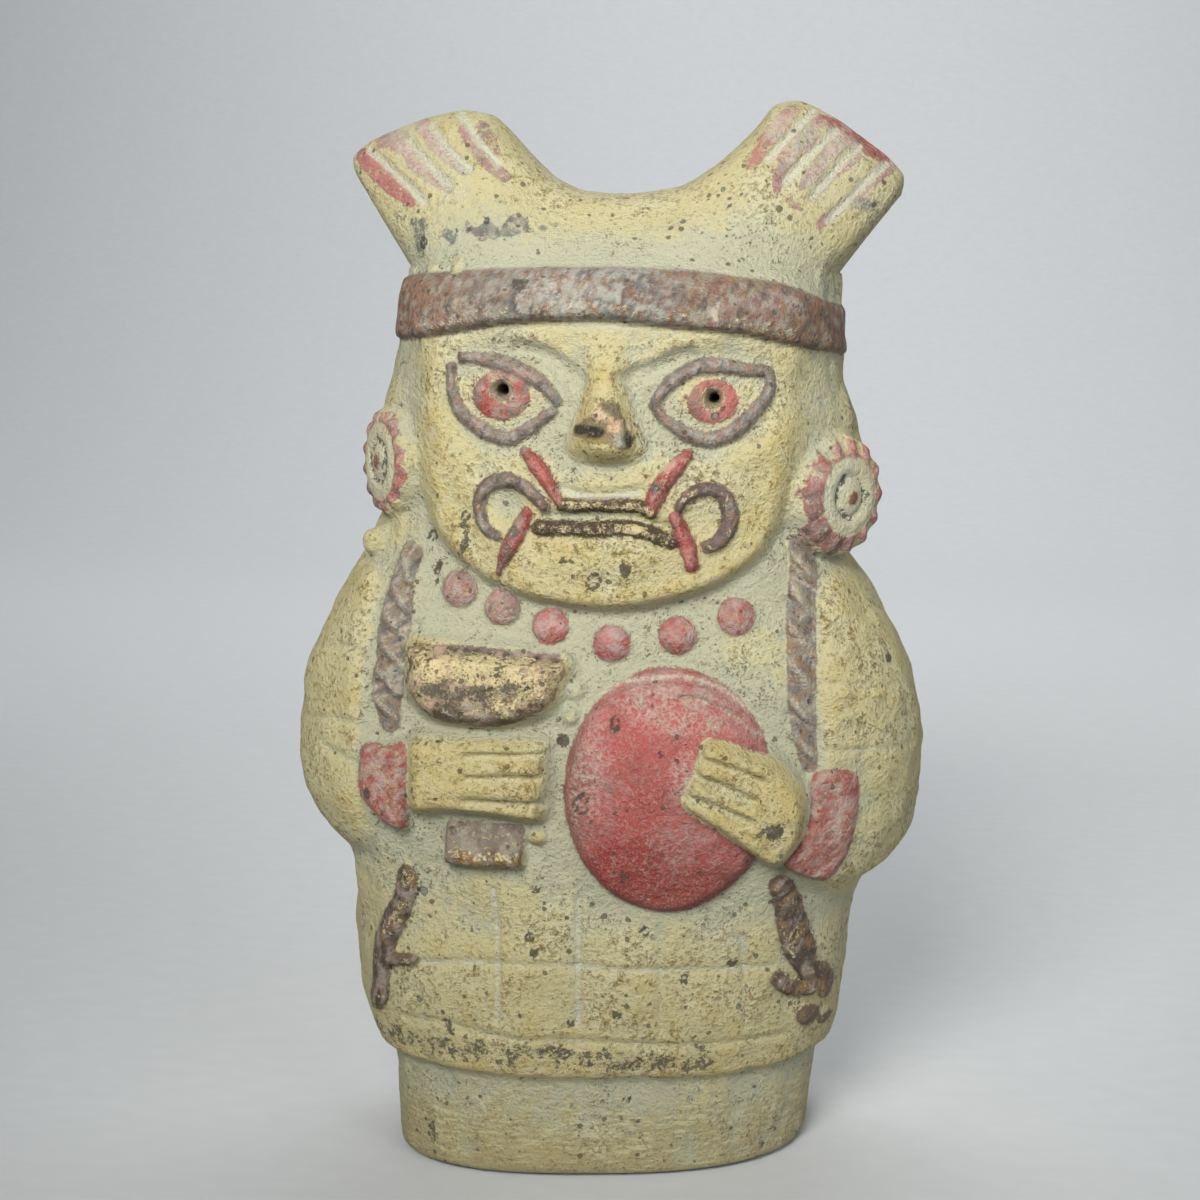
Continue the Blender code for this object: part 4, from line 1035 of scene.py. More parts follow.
# The cup over the hand at the viewer's left, and the small block and stub under that hand, all of the same
# clay. The cup is burnished, blackened in a band and brown below; its upper part is lighter with more painted
# glints, and its lower part darker with painted shade.
CUP = (
    (-23.8, 76.2), (-24.2, 73.5), (-24.3, 71.0), (-23.5, 69.0), (-21.6, 67.3), (-18.6, 66.3),
    (-14.4, 66.0), (-10.4, 66.4), (-7.0, 67.8), (-4.6, 69.8), (-3.6, 72.1), (-3.4, 74.9), (-12.0, 76.0),
)
CUP_RISE = 5.4
CUP_MOUTH = ((-20.5, 75.9), (-14.0, 75.7), (-8.0, 75.3), (-4.2, 75.0))
CUP_BROWN = "#5f4a33"
CUP_BAND = ((-22.4, 71.2), (-18.6, 70.9), (-14.4, 70.8), (-10.6, 71.2), (-7.0, 72.4))
CUP_CHIPS = (
    ((-16.5, 72.2), (1.4, 0.6)),
    ((-11.0, 72.6), (1.0, 0.7)),
    ((-19.8, 71.4), (0.8, 0.6)),
    ((-7.6, 72.0), (0.7, 0.6)),
)
CUP_LUMPS = (((-1.6, 71.0), (1.3, 1.6)), ((-2.1, 67.5), (1.1, 1.5)))
BLOCK_SIDES = (-19.2, -8.4)
BLOCK_HEIGHTS = (46.7, 48.8, 53.0)
BLOCK_RISE = 3.4
BLOCK_GOLD = "#7b6036"
BLOCK_MAUVE = "#867a6c"
STUB = ((-6.6, 50.9), (1.6, 1.2))
cup_edge = shape(CUP)
arms = np.maximum(arms, CUP_RISE * ramp(cup_edge, 4.2) + drawn(CUP_MOUTH, 1.6, 1.2))
paint(cup_edge, CUP_BROWN, 0.30)
# Lighter brown and more worn above the band, partly painted light.
tint(ramp(cup_edge, 1.0) * ramp(z - 69.4, 1.6), "#7a654c", 0.55)
paint(strip(CUP_MOUTH, (1.2, 1.2))[0], "#96807d", 0.3)
for middle, radii in CUP_CHIPS:
    paint(oval(middle, radii) - 0.1, "#b18377", 0.35)
on_cup = ramp(cup_edge, 1.0)
dapple(on_cup, ("#9c7a68", "#35291f", "#b59a86"), 0.4, 3)
# Polish with painted glints grows towards the cup's top, and the dark marks grow towards its bottom as
# painted shade over the real blackening.
mark(polish_and_sheen, on_cup * (0.62 + 0.2 * ramp(z - 71.4, 1.6) + 0.08 * roughness(5)))
mark(stain_and_shade, (0.7 + 0.1 * roughness(5)) * ramp(strip(CUP_BAND, (1.8, 2.6, 2.8, 2.4, 1.6))[0] + RAG, 1.2))
mark(stain_and_shade, on_cup * (0.5 + 0.2 * ramp(67.6 - z, 2.0) + 0.08 * roughness(5)))
for middle, radii in CUP_LUMPS:
    arms = np.maximum(arms, rounded(oval(middle, radii), min(radii), 1.0))
left, right = BLOCK_SIDES
low, edge_height, high = BLOCK_HEIGHTS
block_edge = np.minimum(z - low, np.minimum(x - left, right - x))
block_slope = np.clip((high - z) / (high - edge_height), 0, 1)
arms = np.maximum(arms, BLOCK_RISE * block_slope * ramp(block_edge, 1.0))
paint(np.minimum(block_edge, edge_height + 0.2 - z), BLOCK_GOLD, 0.12)
paint(np.minimum(block_edge, np.minimum(z - edge_height, high - 0.6 - z)), BLOCK_MAUVE, 0.24)
dapple(0.6 * ramp(block_edge, 0.8), ("#a09a8b", "#6a5c50"), 0.4, 2)
mark(polish_and_sheen, 0.7 * ramp(block_edge, 0.8) * ramp(0.9 - np.abs(z - edge_height + 0.4), 0.8))
arms = np.maximum(arms, rounded(oval(*STUB), 1.2, 1.6))

# The belt ends, thin rolls in brown slip that hang as snakes with forked tongues. They lie over a tunic that
# is drawn in squares in the wet clay and ends in a hem above the foot.
BELT_ENDS = (
    (
        (
            (-24.8, 43.8), (-25.1, 40.6), (-25.8, 38.3), (-26.7, 35.9), (-27.6, 33.4), (-27.9, 31.0),
            (-28.4, 26.0), (-29.0, 24.0),
        ),
        (3.0, 3.2, 3.4, 3.2, 2.8, 2.6),
    ),
    (((-26.4, 31.4), (-24.9, 31.8), (-23.2, 32.1)), (1.9, 1.6)),
    (
        ((26.4, 43.5), (27.1, 41.0), (27.4, 39.1), (27.9, 35.7), (28.8, 32.0), (29.4, 29.6)),
        (3.4, 4.0, 4.4, 4.0, 2.6),
    ),
    (((25.4, 29.4), (27.2, 27.6), (29.6, 26.9)), (2.0, 2.4)),
    (((30.8, 29.5), (31.8, 27.5), (31.6, 25.2)), (2.0, 1.8)),
)
BELT_KNOBS = (((29.4, 22.5), (1.4, 1.6), 1.5), ((31.6, 20.8), (0.9, 0.9), 0.9))
BELT_RISE = 1.9
BELT_PLUM = "#6d5a4b"
BELT_SHADOW = ((-21.8, 44.9), (-22.9, 42.6), (-23.5, 39.6), (-24.3, 35.8))
TUNIC_LINES = (
    (((-12.5, 42.9), (-11.7, 34.4), (-11.6, 24.2)), 0.8),
    (((-0.9, 41.8), (-0.9, 34.8), (-0.9, 23.4)), 0.8),
    (((10.0, 38.0), (10.1, 32.0), (10.3, 22.6)), 0.4),
    (((21.0, 36.0), (21.1, 31.0), (21.4, 22.6)), 0.3),
    (((-23.0, 31.5), (-12.7, 32.4), (-1.2, 32.2), (8.9, 31.7), (18.0, 31.5), (24.6, 31.4)), 0.7),
)
HEM_LINE = ((-24.4, 22.7), (-19.4, 23.0), (-11.2, 21.5), (-0.5, 21.0), (12.8, 20.4), (26.6, 20.3))
HEM_RISE = 1.9
HEM_SLOPE = 1.6
HEM_FADE = (37.5, 25.0)
HEM = ((-34.0, 17.4), (-25.0, 16.2), (-16.0, 15.8), (0.0, 15.2), (23.0, 15.2), (30.0, 15.6), (35.0, 14.6))
for places, widths in BELT_ENDS:
    edge, height = coil(places, widths, BELT_RISE)
    dress = np.maximum(dress, height)
    paint(edge, BELT_PLUM, 0.14)
    on_belt = ramp(edge, 0.8)
    mark(polish_and_sheen, on_belt * (0.56 + 0.07 * roughness(4)))
    mark(stain_and_shade, on_belt * (0.5 + 0.1 * roughness(4)))
    dapple(on_belt, ("#8f6f48", "#4a3f37", "#96897d"), 0.5)
for middle, radii, rise in BELT_KNOBS:
    edge = oval(middle, radii)
    dress = np.maximum(dress, rounded(edge, min(radii), rise))
    paint(edge, BELT_PLUM, 0.14)
mark(stain_and_shade, 0.6 * ramp(strip(BELT_SHADOW, (0.9, 0.9))[0], 0.5))
for places, amount in TUNIC_LINES:
    lines += drawn(places, 1.3, 0.55)
    chalk(places, 1.1, amount)
lines += drawn(HEM_LINE, 1.4, 0.7)
chalk(HEM_LINE, 0.8, 0.5)
hem = along(x, column(HEM, 0), column(HEM, 1))
swell += HEM_RISE * ramp(z - hem, HEM_SLOPE) * (1 - ramp(z - HEM_FADE[0], HEM_FADE[1]))
relief += np.maximum(arms, dress) + lines
mark(stain_and_shade, 0.32 * ramp(z - hem, 2.0) * ramp(46 - z, 6.0) * front)
mark(stain_and_shade, 0.36 * ramp(5 - z, 4.0) * front)
mark(polish_and_sheen, 0.42 * ramp(4 - z, 3.0) * front)

# The marks of use and burial: soot and tarry drops in spots and smears, blisters with a dark rim, and a hem
# that is rubbed black.
SMEARS = (
    ((-16.2, 133.4), (0.5, 0.5), 1.0),
    ((19.0, 128.6), (2.0, 0.8), 0.5),
    ((-10.6, 124.8), (1.8, 0.9), 0.8),
    ((26.4, 121.9), (1.3, 1.6), 0.6),
    ((-24.8, 116.2), (3.2, 0.9), 0.5),
    ((-22.6, 89.5), (1.1, 4.5), 0.5),
    ((-21.6, 86.0), (0.8, 1.6), 0.8),
    ((-17.4, 90.0), (0.5, 1.2), 0.8),
    ((4.9, 87.0), (1.0, 0.8), 0.9),
    ((21.1, 90.9), (0.9, 0.6), 0.6),
    ((25.6, 91.4), (1.2, 1.6), 0.6),
    ((-3.9, 65.4), (0.6, 2.6), 0.9),
    ((25.1, 53.4), (1.6, 1.6), 0.9),
    ((26.7, 58.5), (0.9, 0.9), 0.5),
    ((40.6, 74.5), (0.7, 0.8), 0.9),
    ((-6.6, 43.2), (0.9, 0.8), 0.8),
    ((-16.7, 36.9), (1.8, 1.6), 0.5),
    ((-18.8, 23.1), (0.6, 1.0), 0.8),
    ((-22.1, 6.6), (0.7, 1.8), 0.7),
    ((-4.7, 9.2), (1.4, 0.6), 0.5),
    ((-9.9, 6.5), (0.9, 0.6), 0.4),
    ((5.1, 46.0), (0.7, 1.2), 0.7),
    ((-14.2, 65.6), (2.2, 0.5), 0.8),
)
HEM_PATCHES = (
    (-25.4, 19.5), (-19.4, 20.5), (-14.0, 19.5), (-8.5, 19.7), (-3.2, 19.2), (2.2, 18.6), (9.0, 18.2),
    (15.5, 18.1),
)
BLISTERS = (
    ((0.6, 85.7), (1.1, 1.1)),
    ((-3.6, 88.6), (0.6, 0.5)),
    ((4.9, 87.0), (0.7, 0.7)),
    ((4.0, 66.9), (0.8, 1.3)),
    ((-0.1, 56.0), (1.1, 1.4)),
    ((10.1, 63.2), (0.8, 0.8)),
    ((-7.6, 36.4), (0.6, 0.6)),
    ((-6.7, 34.2), (0.7, 0.7)),
    ((-1.9, 23.9), (0.7, 0.7)),
    ((4.5, 25.3), (0.6, 0.6)),
    ((8.1, 37.5), (0.6, 0.6)),
    ((20.0, 32.5), (0.7, 0.6)),
    ((13.2, 30.5), (0.6, 0.6)),
    ((-17.1, 94.0), (0.6, 0.6)),
    ((-22.2, 90.6), (0.8, 0.7)),
    ((5.6, 11.7), (0.7, 0.6)),
    ((-25.1, 130.4), (0.6, 0.6)),
)
HEM_PATCH = (3.6, 1.5)
HEM_RUB = (-28.0, 19.0)
for middle, radii in BLISTERS:
    edge = oval(middle, radii) + 0.6 * RAG
    mark(stain_and_shade, ramp(edge, 0.3) - 0.45 * ramp(edge - 0.4, 0.4))
for middle, radii, strength in SMEARS:
    mark(stain_and_shade, strength * ramp(oval(middle, radii) + 1.5 * RAG, 0.9))
for middle in HEM_PATCHES:
    mark(stain_and_shade, 0.7 * ramp(oval(middle, HEM_PATCH) + 2 * RAG, 1.4))
hem_front = ramp(2.0 - np.abs(z - (hem + 3.0)), 1.6) * front
hem_front *= ramp(x - HEM_RUB[0], 3) * ramp(HEM_RUB[1] - x, 8)
mark(polish_and_sheen, hem_front * (0.6 + 0.07 * roughness(4)))
mark(stain_and_shade, hem_front * (0.54 + 0.07 * roughness(3)))

# The finished surface: the moulds' relief pressed forward, the foot rounded, and the unevenness of clay that
# was smoothed by hand.
UNEVENNESS = ((2, 0.03), (8, 0.065), (25, 0.09), (70, 0.16))
uneven = np.zeros_like(x)
for passes, rise in UNEVENNESS:
    uneven += rise * roughness(passes)
low = np.clip(FOOT_ROUNDING - z, 0, FOOT_ROUNDING)
swell -= FOOT_ROUNDING - np.sqrt(FOOT_ROUNDING**2 - low**2)
swell += uneven * ramp(z - 1.5, 2.0) * (1 - 0.7 * (z >= BAND_TOP))
outward = np.stack([np.cos(angles), SECTION[0] / SECTION[1] * np.sin(angles)])
outward /= np.hypot(*outward)
points[..., 0] += outward[0] * swell
points[..., 1] += outward[1] * swell
points[..., 1] -= relief * front

# The ear ornaments: a disc with a ring of red petals on each side of the head, and a ball under the one at
# the viewer's left, all of the same clay. They face outwards, so they are lifted along their own directions.
EAR_DISCS = ((-29.4, -12.0, 100.2, -56.0, 7.6), (32.7, -12.2, 96.9, 49.0, 8.4))
EAR_RISE = 2.4
EAR_SLOPE = ((5.4, 8.2), 1.5)
EAR_PETALS = 13
PETAL_RISE = 0.35
EAR_RINGS = ((5.3, 0.45, 0.3), (2.8, 0.5, 0.52))
EAR_BOSS = (1.4, 0.5)
EAR_EDGE = 1.2
EAR_RED = "#ab625b"
BOSS_BROWN = "#7d5548"
EAR_SHADOW = "#5c4a45"
EAR_PLAIN = (10.0, 215.0)
EAR_DROP = (-31.6, -12.0, 88.8, -52.0, 2.2)


def stamp(places, place, facing, radius, face):
    """Lifts a round form out of the surface, facing the given number of degrees from the front."""
    turned = np.radians(facing)
    normal = np.array([np.sin(turned), -np.cos(turned), 0])
    across = np.array([np.cos(turned), np.sin(turned), 0])
    offset = places - np.array(place)
    a, b, out = offset @ across, offset[..., 2], offset @ normal
    distance, angle = np.hypot(a, b), np.arctan2(b, a)
    lifted = np.clip(face(distance, angle) - out, 0, None)
    share = ramp(radius - distance, EAR_EDGE) * (out > -radius)
    edge = np.where(out > -radius, radius - distance, -FAR)
    return places + (lifted * share)[..., None] * normal, edge, angle


def ear_face(distance, angle):
    """Height over an ear disc: petals that slope down from a raised middle with rings and a boss."""
    (flat, rim), fall = EAR_SLOPE
    level = EAR_RISE - fall * np.clip((distance - flat) / (rim - flat), 0, 1)
    level += PETAL_RISE * np.cos(EAR_PETALS * angle) * ramp(distance - flat - 0.5, 1.0)
    for radius, half, depth in EAR_RINGS:
        level -= depth * np.exp(-(((distance - radius) / half) ** 2))
    return level + EAR_BOSS[1] * np.clip(1 - (distance / EAR_BOSS[0]) ** 2, 0, 1)


def drop_face(distance, angle):
    """Height over the ball, the same all round."""
    radius = EAR_DROP[-1]
    return radius * np.sqrt(np.clip(1 - (distance / radius) ** 2, 0, 1)) + 0 * angle


for (*middle, facing, radius), plain in zip(EAR_DISCS, EAR_PLAIN):
    points, edge, angle = stamp(points, middle, facing, radius, ear_face)
    unpaint(edge)
    petal = np.minimum(edge - 0.5, radius - 5.5 - edge) + 0.8 * RAG
    solid = ramp(np.cos(angle - np.radians(plain)) - 0.5, 0.7)
    paint(np.minimum(petal, 1.1 * (np.cos(EAR_PETALS * angle) + 0.2 + 1.2 * solid)), EAR_RED, 0.26)
    paint(0.3 - np.abs(radius - edge - 5.8), EAR_RED, 0.42)
    paint(edge - radius + 0.9 + RAG, BOSS_BROWN, 0.20)
    mark(dust, 0.34 * ramp(petal, 0.8))
    mark(dust, 0.75 * ramp(edge - radius + 5.6, 0.6) * ramp(radius - edge - 1.0, 0.5))
    dapple(0.7 * ramp(petal, 0.8), ("#bd918a", "#8d463f", "#a2948b"), 0.5, 1)
    tint(0.6 * ramp(petal, 0.8) * ramp(np.cos(angle - np.radians(225)) - 0.5, 0.6), EAR_SHADOW, 0.2)
    for ring, half, depth in EAR_RINGS:
        mark(stain_and_shade, 1.4 * depth * ramp(half + RAG - np.abs(radius - edge - ring), 0.4) * (edge > 0))
*middle, facing, radius = EAR_DROP
points, edge, _ = stamp(points, middle, facing, radius, drop_face)
mark(polish_and_sheen, 0.6 * ramp(edge, 0.6))

# Where the surface stands out it has been rubbed and takes more painted glint, and where it is sunk it keeps
# pale dust.
STANDING = 0.5
SUNKEN = 1.3
depth = -points[..., 1]
fine_rise = depth - blur(depth, 30)
carved = relief * front + swell
broad_rise = carved - blur(carved, 400)
proud = np.where(front > 0, np.clip(fine_rise / STANDING, -1, 1), 0)
recess = np.where(front > 0, np.clip(-broad_rise / SUNKEN, -1, 1), 0)

# The vessel's mesh: rings of faces, closed under the foot and along the crest's top edge.
mesh = bmesh.new()
rings = [[mesh.verts.new(point * MM) for point in row] for row in points[:-1]]
for low_ring, high_ring in zip(rings, rings[1:]):
    for index in range(len(low_ring)):
        mesh.faces.new((low_ring[index - 1], low_ring[index], high_ring[index], high_ring[index - 1]))
mesh.faces.new(rings[0][::-1])
last = rings[-1]
edge_ring = [mesh.verts.new(point * MM) for point in points[-1][: FRONT_COLUMNS + 1]]
for index in range(FRONT_COLUMNS):
    mesh.faces.new((last[index], last[index + 1], edge_ring[index + 1], edge_ring[index]))
behind = last[FRONT_COLUMNS:] + last[:1]
stops = range(FRONT_COLUMNS, -1, -BACK_STEP)
for near, far, start, end in zip(behind, behind[1:], stops, stops[1:]):
    mesh.faces.new((near, far, *edge_ring[end : start + 1]))
bmesh.ops.recalc_face_normals(mesh, faces=mesh.faces)
figure_mesh = bpy.data.meshes.new("rattle_figure")
mesh.to_mesh(figure_mesh)
mesh.free()
figure_mesh.shade_smooth()
figure = place("rattle_figure", figure_mesh)


def keep(name, values, kind="FLOAT"):
    """Keeps a value for each point of the rings on the mesh."""
    flat = np.concatenate([values[:-1].reshape(-1, *values.shape[2:]), values[-1][: FRONT_COLUMNS + 1]])
    layer = figure_mesh.attributes.new(name, kind, "POINT")
    if kind == "FLOAT":
        layer.data.foreach_set("value", flat.astype(np.float32))
    else:
        flat = np.concatenate([flat, np.ones((len(flat), 1))], axis=1)
        layer.data.foreach_set("color", flat.astype(np.float32).ravel())


keep("slip_edge", slip_edge)
keep("slip_colour", slip_colour, "FLOAT_COLOR")
keep("slip_wear", slip_wear)
keep("stain_and_shade", stain_and_shade)
keep("polish_and_sheen", polish_and_sheen)
keep("dust", dust)
keep("proud", proud)
keep("recess", recess)

# The hollow inside, one wall's thickness in, and the two pupils pierced through to it. The holes narrow
# inwards, and are narrower than the plain bores in the solid.
WALL = 4.5
CAVITY_ROWS = 20
CAVITY_CREST_ROWS = 4
CAVITY_COLUMNS = 13
CAVITY_TOP = 0.42
BORE_SIDES = 24
hollow = bmesh.new()
hollow_rows = plain_form(
    np.linspace(WALL, BAND_TOP, CAVITY_ROWS, endpoint=False),
    np.linspace(0, CAVITY_TOP, CAVITY_CREST_ROWS),
    column_angles(CAVITY_COLUMNS, 1),
    WALL,
)
hollow_rings = [[hollow.verts.new(point * MM) for point in row] for row in hollow_rows]
for low_ring, high_ring in zip(hollow_rings, hollow_rings[1:]):
    for index in range(len(low_ring)):
        hollow.faces.new((low_ring[index - 1], low_ring[index], high_ring[index], high_ring[index - 1]))
hollow.faces.new(hollow_rings[0][::-1])
hollow.faces.new(hollow_rings[-1])
bmesh.ops.recalc_face_normals(hollow, faces=hollow.faces)
cavity_mesh = bpy.data.meshes.new("cavity")
hollow.to_mesh(cavity_mesh)
hollow.free()
cutters = [place("cavity", cavity_mesh)]
(bore_mouth, mouth_radius), (bore_end, end_radius) = PUPIL_BORE
for number, (across, up) in enumerate(PUPILS):
    bore = bmesh.new()
    middle = Vector((across, (bore_mouth + bore_end) / 2, up)) * MM
    bmesh.ops.create_cone(
        bore,
        cap_ends=True,
        segments=BORE_SIDES,
        radius1=end_radius * MM,
        radius2=mouth_radius * MM,
        depth=(bore_end - bore_mouth) * MM,
        matrix=Matrix.Translation(middle) @ Matrix.Rotation(np.pi / 2, 4, "X"),
    )
    bore_mesh = bpy.data.meshes.new("bore")
    bore.to_mesh(bore_mesh)
    bore.free()
    cutters.append(place(f"bore_{number}", bore_mesh))
for tool in cutters:
    step = figure.modifiers.new(tool.name, "BOOLEAN")
    step.operation = "DIFFERENCE"
    step.solver = "EXACT"
    step.object = tool
graph = bpy.context.evaluated_depsgraph_get()
pierced = bpy.data.meshes.new_from_object(
    figure.evaluated_get(graph), preserve_all_data_layers=True, depsgraph=graph
)
figure.modifiers.clear()
figure.data = pierced
bpy.data.meshes.remove(figure_mesh)
for tool in cutters:
    bpy.data.objects.remove(tool)
spots = np.array([vertex.co for vertex in pierced.vertices]) / MM
for across, up in PUPILS:
    for index in np.flatnonzero(np.hypot(spots[:, 0] - across, spots[:, 2] - up) < BORE_MOUTH):
        pierced.attributes["slip_edge"].data[index].value = 1.0
        pierced.attributes["slip_colour"].data[index].color = (*linear(BORE_BROWN), 1)

# Fired buff clay with slip paint: matt and a little chalky, greyer where dust has settled and ochre where it
# is rubbed, with dark grit and blisters, and slip that has flaked in small chips. Polished places carry
# painted cream glints, some dark marks are painted shadow lines, and the foot darkens towards the bottom,
# partly as painted shade.
clay = bpy.data.materials.new("slip_painted_clay")
clay.use_nodes = True
tree = clay.node_tree
surface = tree.nodes["Principled BSDF"]
position = add(tree, "ShaderNodeTexCoord").outputs["Object"]
mm = add(tree, "ShaderNodeMapping", {"Vector": position, "Scale": (1000, 1000, 1000)})
made = {
    name: add(tree, "ShaderNodeAttribute", attribute_name=name).outputs["Fac"]
    for name in ("slip_edge", "slip_wear", "stain_and_shade", "polish_and_sheen", "dust", "proud", "recess")
}
made["slip"] = add(tree, "ShaderNodeAttribute", attribute_name="slip_colour").outputs["Color"]

# Mottling, each with its real size in mm, how many finer steps it has and how strong they are. The foot's
# streaks from wiping run round the figure, so they are drawn out sideways.
MOTTLES = (
    ("cloud", 9.0, 3.0, 0.5),
    ("patch", 2.8, 5.0, 0.62),
    ("crumb", 1.2, 4.0, 0.6),
    ("grain", 0.6, 5.0, 0.7),
    ("grit", 0.34, 4.0, 0.62),
    ("flake", 0.9, 6.0, 0.72),
)
for name, size, steps, strength in MOTTLES:
    made[name] = add(
        tree, "ShaderNodeTexNoise", {"Vector": mm, "Scale": 1 / size, "Detail": steps, "Roughness": strength}
    )
STREAK_SIZE = 0.45
STREAK_STRETCH = (0.14, 0.14, 1.0)
STROKE_SIZE = 0.8
STROKE_STRETCH = (3.6, 1.0, 1.0)
STROKE_SLANT = 40.0
foot_streaks = add(tree, "ShaderNodeMapping", {"Vector": mm, "Scale": STREAK_STRETCH})
made["streak"] = add(tree, "ShaderNodeTexNoise", {"Vector": foot_streaks, "Scale": 1 / STREAK_SIZE, "Detail": 4.0})
brushed = add(
    tree,
    "ShaderNodeMapping",
    {"Vector": mm, "Rotation": (0, np.radians(STROKE_SLANT), 0), "Scale": STROKE_STRETCH},
    vector_type="TEXTURE",
)
made["stroke"] = add(
    tree,
    "ShaderNodeTexNoise",
    {"Vector": brushed, "Scale": 1 / STROKE_SIZE, "Detail": 5.0, "Roughness": 0.65},
)
made["height"] = add(tree, "ShaderNodeSeparateXYZ", {"Vector": mm}).outputs["Z"]

# Blisters in the clay, in about one in four of cells 5.5 mm across, and dark dots in half of cells 1.6 mm
# across, all with ragged outlines.
BLISTER_CELL = 5.5
DOT_CELL = 1.6
BLISTER_RAG = (0.9, 0.9, 0.9)
ragged = add(
    tree,
    "ShaderNodeVectorMath",
    {0: made["crumb"].outputs["Color"], 1: BLISTER_RAG, 2: mm},
    operation="MULTIPLY_ADD",
)
cells = add(tree, "ShaderNodeTexVoronoi", {"Vector": ragged, "Scale": 1 / BLISTER_CELL})
chances = add(tree, "ShaderNodeSeparateColor", {"Color": cells.outputs["Color"]})
dots = add(tree, "ShaderNodeTexVoronoi", {"Vector": ragged, "Scale": 1 / DOT_CELL})
made["dot_gap"] = dots.outputs["Distance"]
made["dot_chance"] = add(tree, "ShaderNodeSeparateColor", {"Color": dots.outputs["Color"]}).outputs["Red"]
made["blister_gap"] = cells.outputs["Distance"]
made["blister_chance"] = chances.outputs["Red"]
made["blister_size"] = chances.outputs["Green"]

# Each share of a finish: what it adds up, over what range it comes in, and its least and greatest strength.
PEPPERED = (("grit", 1.0), ("crumb", 0.5), ("patch", 0.2), ("cloud", 0.3), ("dust", -0.1))
DOTTED = (("dot_gap", -1.0), ("dot_chance", 0.5), ("stain_and_shade", 0.12), ("dust", -0.06))
BLISTERED = (("blister_gap", -1.0), ("blister_size", 0.07), ("blister_chance", 0.4))
SHARES = (
    ("bleached", (("cloud", 1.0), ("patch", 0.9)), 0.88, 1.12, 0.0, 0.7),
    ("ochre", (("patch", 1.0), ("grain", 0.6), ("proud", 0.05), ("recess", -0.12)), 0.74, 1.1, 0.0, 0.9),
    ("brown", (("grain", 1.0), ("crumb", 0.6), ("patch", 0.3), ("cloud", 0.4)), 1.17, 1.33, 0.0, 0.72),
    ("sunk", (("recess", 0.42), ("grain", 0.8), ("patch", 0.5), ("proud", -0.08)), 0.72, 1.02, 0.0, 0.9),
    ("dusty", (("dust", 0.8), ("grain", 0.8), ("patch", 0.4)), 0.95, 1.35, 0.0, 0.85),
    # Painted highlight: cream glints where polish is high and the surface stands out, partly pale bare clay.
    ("glint", (("polish_and_sheen", 0.75), ("flake", 1.0), ("grain", 0.7), ("proud", 0.08)), 1.4, 1.54, 0.0, 0.88),
    # Darker brown streaks that grow towards the bottom, partly wiping marks and partly painted shade.
    ("foot_streaks", (("streak", 1.0), ("height", -0.012)), 0.28, 0.5, 0.0, 0.6),
    ("covered", (("slip_edge", 0.9), ("grain", 1.0), ("patch", 0.6)), 0.66, 0.9, 0.0, 1.0),
    ("kept", (("flake", -1.0), ("slip_wear", -0.32), ("proud", -0.02)), -0.69, -0.64, 0.3, 1.0),
    ("slip_deep", (("stroke", 0.7), ("grit", 0.5), ("patch", 0.7)), 0.9, 1.2, 0.0, 0.7),
    ("slip_pale", (("stroke", 0.4), ("grain", 0.8), ("grit", 1.0), ("dust", 0.35)), 1.1, 1.5, 0.0, 0.52),
    ("dark_stain_and_shade", (("stain_and_shade", 0.85), ("flake", 1.4), ("grit", 0.6)), 1.48, 1.66, 0.0, 0.85),
    ("pepper", PEPPERED, 1.11, 1.19, 0.0, 0.75),
    ("speck", DOTTED, 0.24, 0.29, 0.0, 0.75),
    ("rimmed", BLISTERED, 0.315, 0.33, 0.0, 0.75),
    ("blistered", BLISTERED, 0.345, 0.36, 0.0, 0.85),
)
for name, terms, low, high, least, most in SHARES:
    total = 0.0
    for source, weight in terms:
        total = add(tree, "ShaderNodeMath", {0: made[source], 1: weight, 2: total}, operation="MULTIPLY_ADD")
    made[name] = add(
        tree,
        "ShaderNodeMapRange",
        {"Value": total, "From Min": low, "From Max": high, "To Min": least, "To Max": most},
        interpolation_type="SMOOTHSTEP",
    )
made["held"] = add(tree, "ShaderNodeMath", {0: made["covered"], 1: made["kept"]}, operation="MULTIPLY")
slip = made["slip"]
for share, colour, blend in (("slip_deep", "#a89490", "MULTIPLY"), ("slip_pale", "#bcaca0", "MIX")):
    slip = add(
        tree,
        "ShaderNodeMix",
        {"Factor": made[share], "A": slip, "B": (*linear(colour), 1)},
        data_type="RGBA",
        blend_type=blend,
    ).outputs[2]

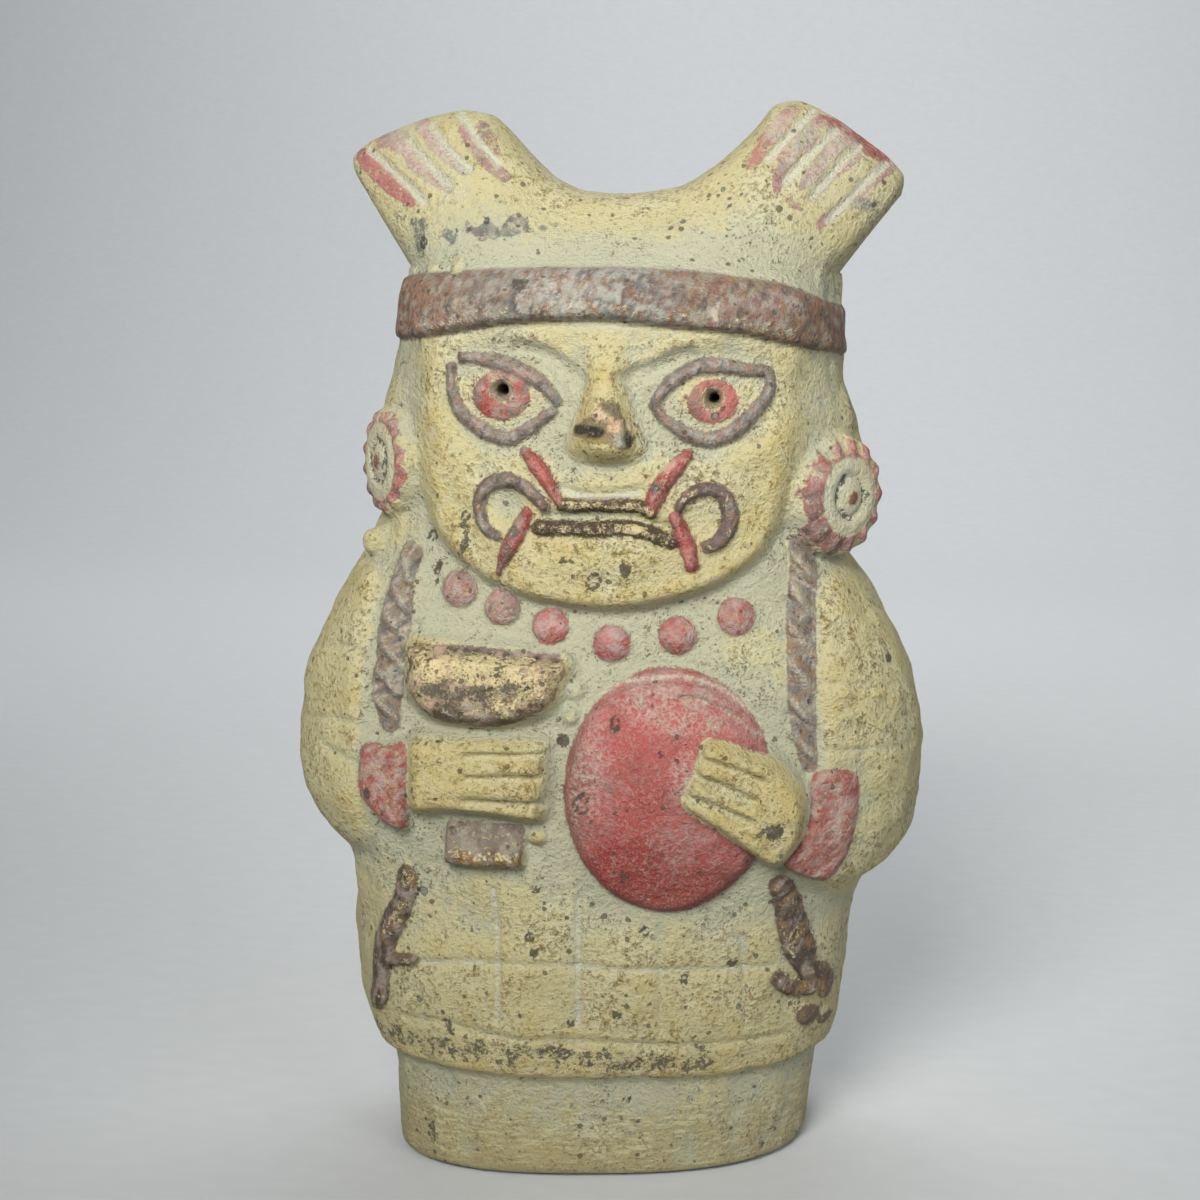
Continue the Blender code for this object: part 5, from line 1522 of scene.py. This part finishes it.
# The clay's colours, from the bare clay out to what lies on it.
BARE_CLAY = "#b9b086"
LAYERS = (
    ("bleached", "#c3bf9f"),
    ("ochre", "#b6a468"),
    ("brown", "#8d7f52"),
    # Darker brown low on the foot, partly painted shade.
    ("foot_streaks", "#96875f"),
    ("sunk", "#a9a991"),
    ("held", slip),
    # The glint colour is painted highlight on polished places, partly pale bare clay showing through.
    ("glint", "#d6c595"),
    ("dusty", "#bfbca7"),
    ("rimmed", "#4c4c46"),
    ("blistered", "#85867b"),
    # Near-black for soot and stains, and for the painted shadow lines and shade that the dark marks carry.
    ("dark_stain_and_shade", "#3d3b35"),
    ("pepper", "#65563b"),
    ("speck", "#4b4234"),
)
colour = (*linear(BARE_CLAY), 1)
for share, layer in LAYERS:
    over = layer if isinstance(layer, bpy.types.NodeSocket) else (*linear(layer), 1)
    laid = add(tree, "ShaderNodeMix", {"Factor": made[share], "A": colour, "B": over}, data_type="RGBA")
    colour = laid.outputs[2]
tree.links.new(colour, surface.inputs["Base Color"])

# Dry clay is matt, and what hands have polished has a low sheen.
CLAY_ROUGHNESS = 0.62
CLAY_IOR = 1.45
CLAY_RISE = 0.5
ROUGHNESS = (("grain", 0.3), ("glint", -0.26), ("polish_and_sheen", -0.14))
RISES = (
    ("grain", 0.8),
    ("grit", 0.4),
    ("crumb", 1.1),
    ("held", 0.12),
    ("pepper", -0.2),
    ("speck", -0.2),
    ("rimmed", -0.15),
)
rough, rise = CLAY_ROUGHNESS, 0.0
for source, weight in ROUGHNESS:
    rough = add(tree, "ShaderNodeMath", {0: made[source], 1: weight, 2: rough}, operation="MULTIPLY_ADD")
for source, weight in RISES:
    rise = add(tree, "ShaderNodeMath", {0: made[source], 1: weight, 2: rise}, operation="MULTIPLY_ADD")
bump = add(tree, "ShaderNodeBump", {"Height": rise, "Strength": 1.0, "Distance": CLAY_RISE * MM})
tree.links.new(rough.outputs[0], surface.inputs["Roughness"])
tree.links.new(bump.outputs[0], surface.inputs["Normal"])
surface.inputs["IOR"].default_value = CLAY_IOR
figure.data.materials.clear()
figure.data.materials.append(clay)

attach(figure, "root")
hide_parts("clay_rattle")
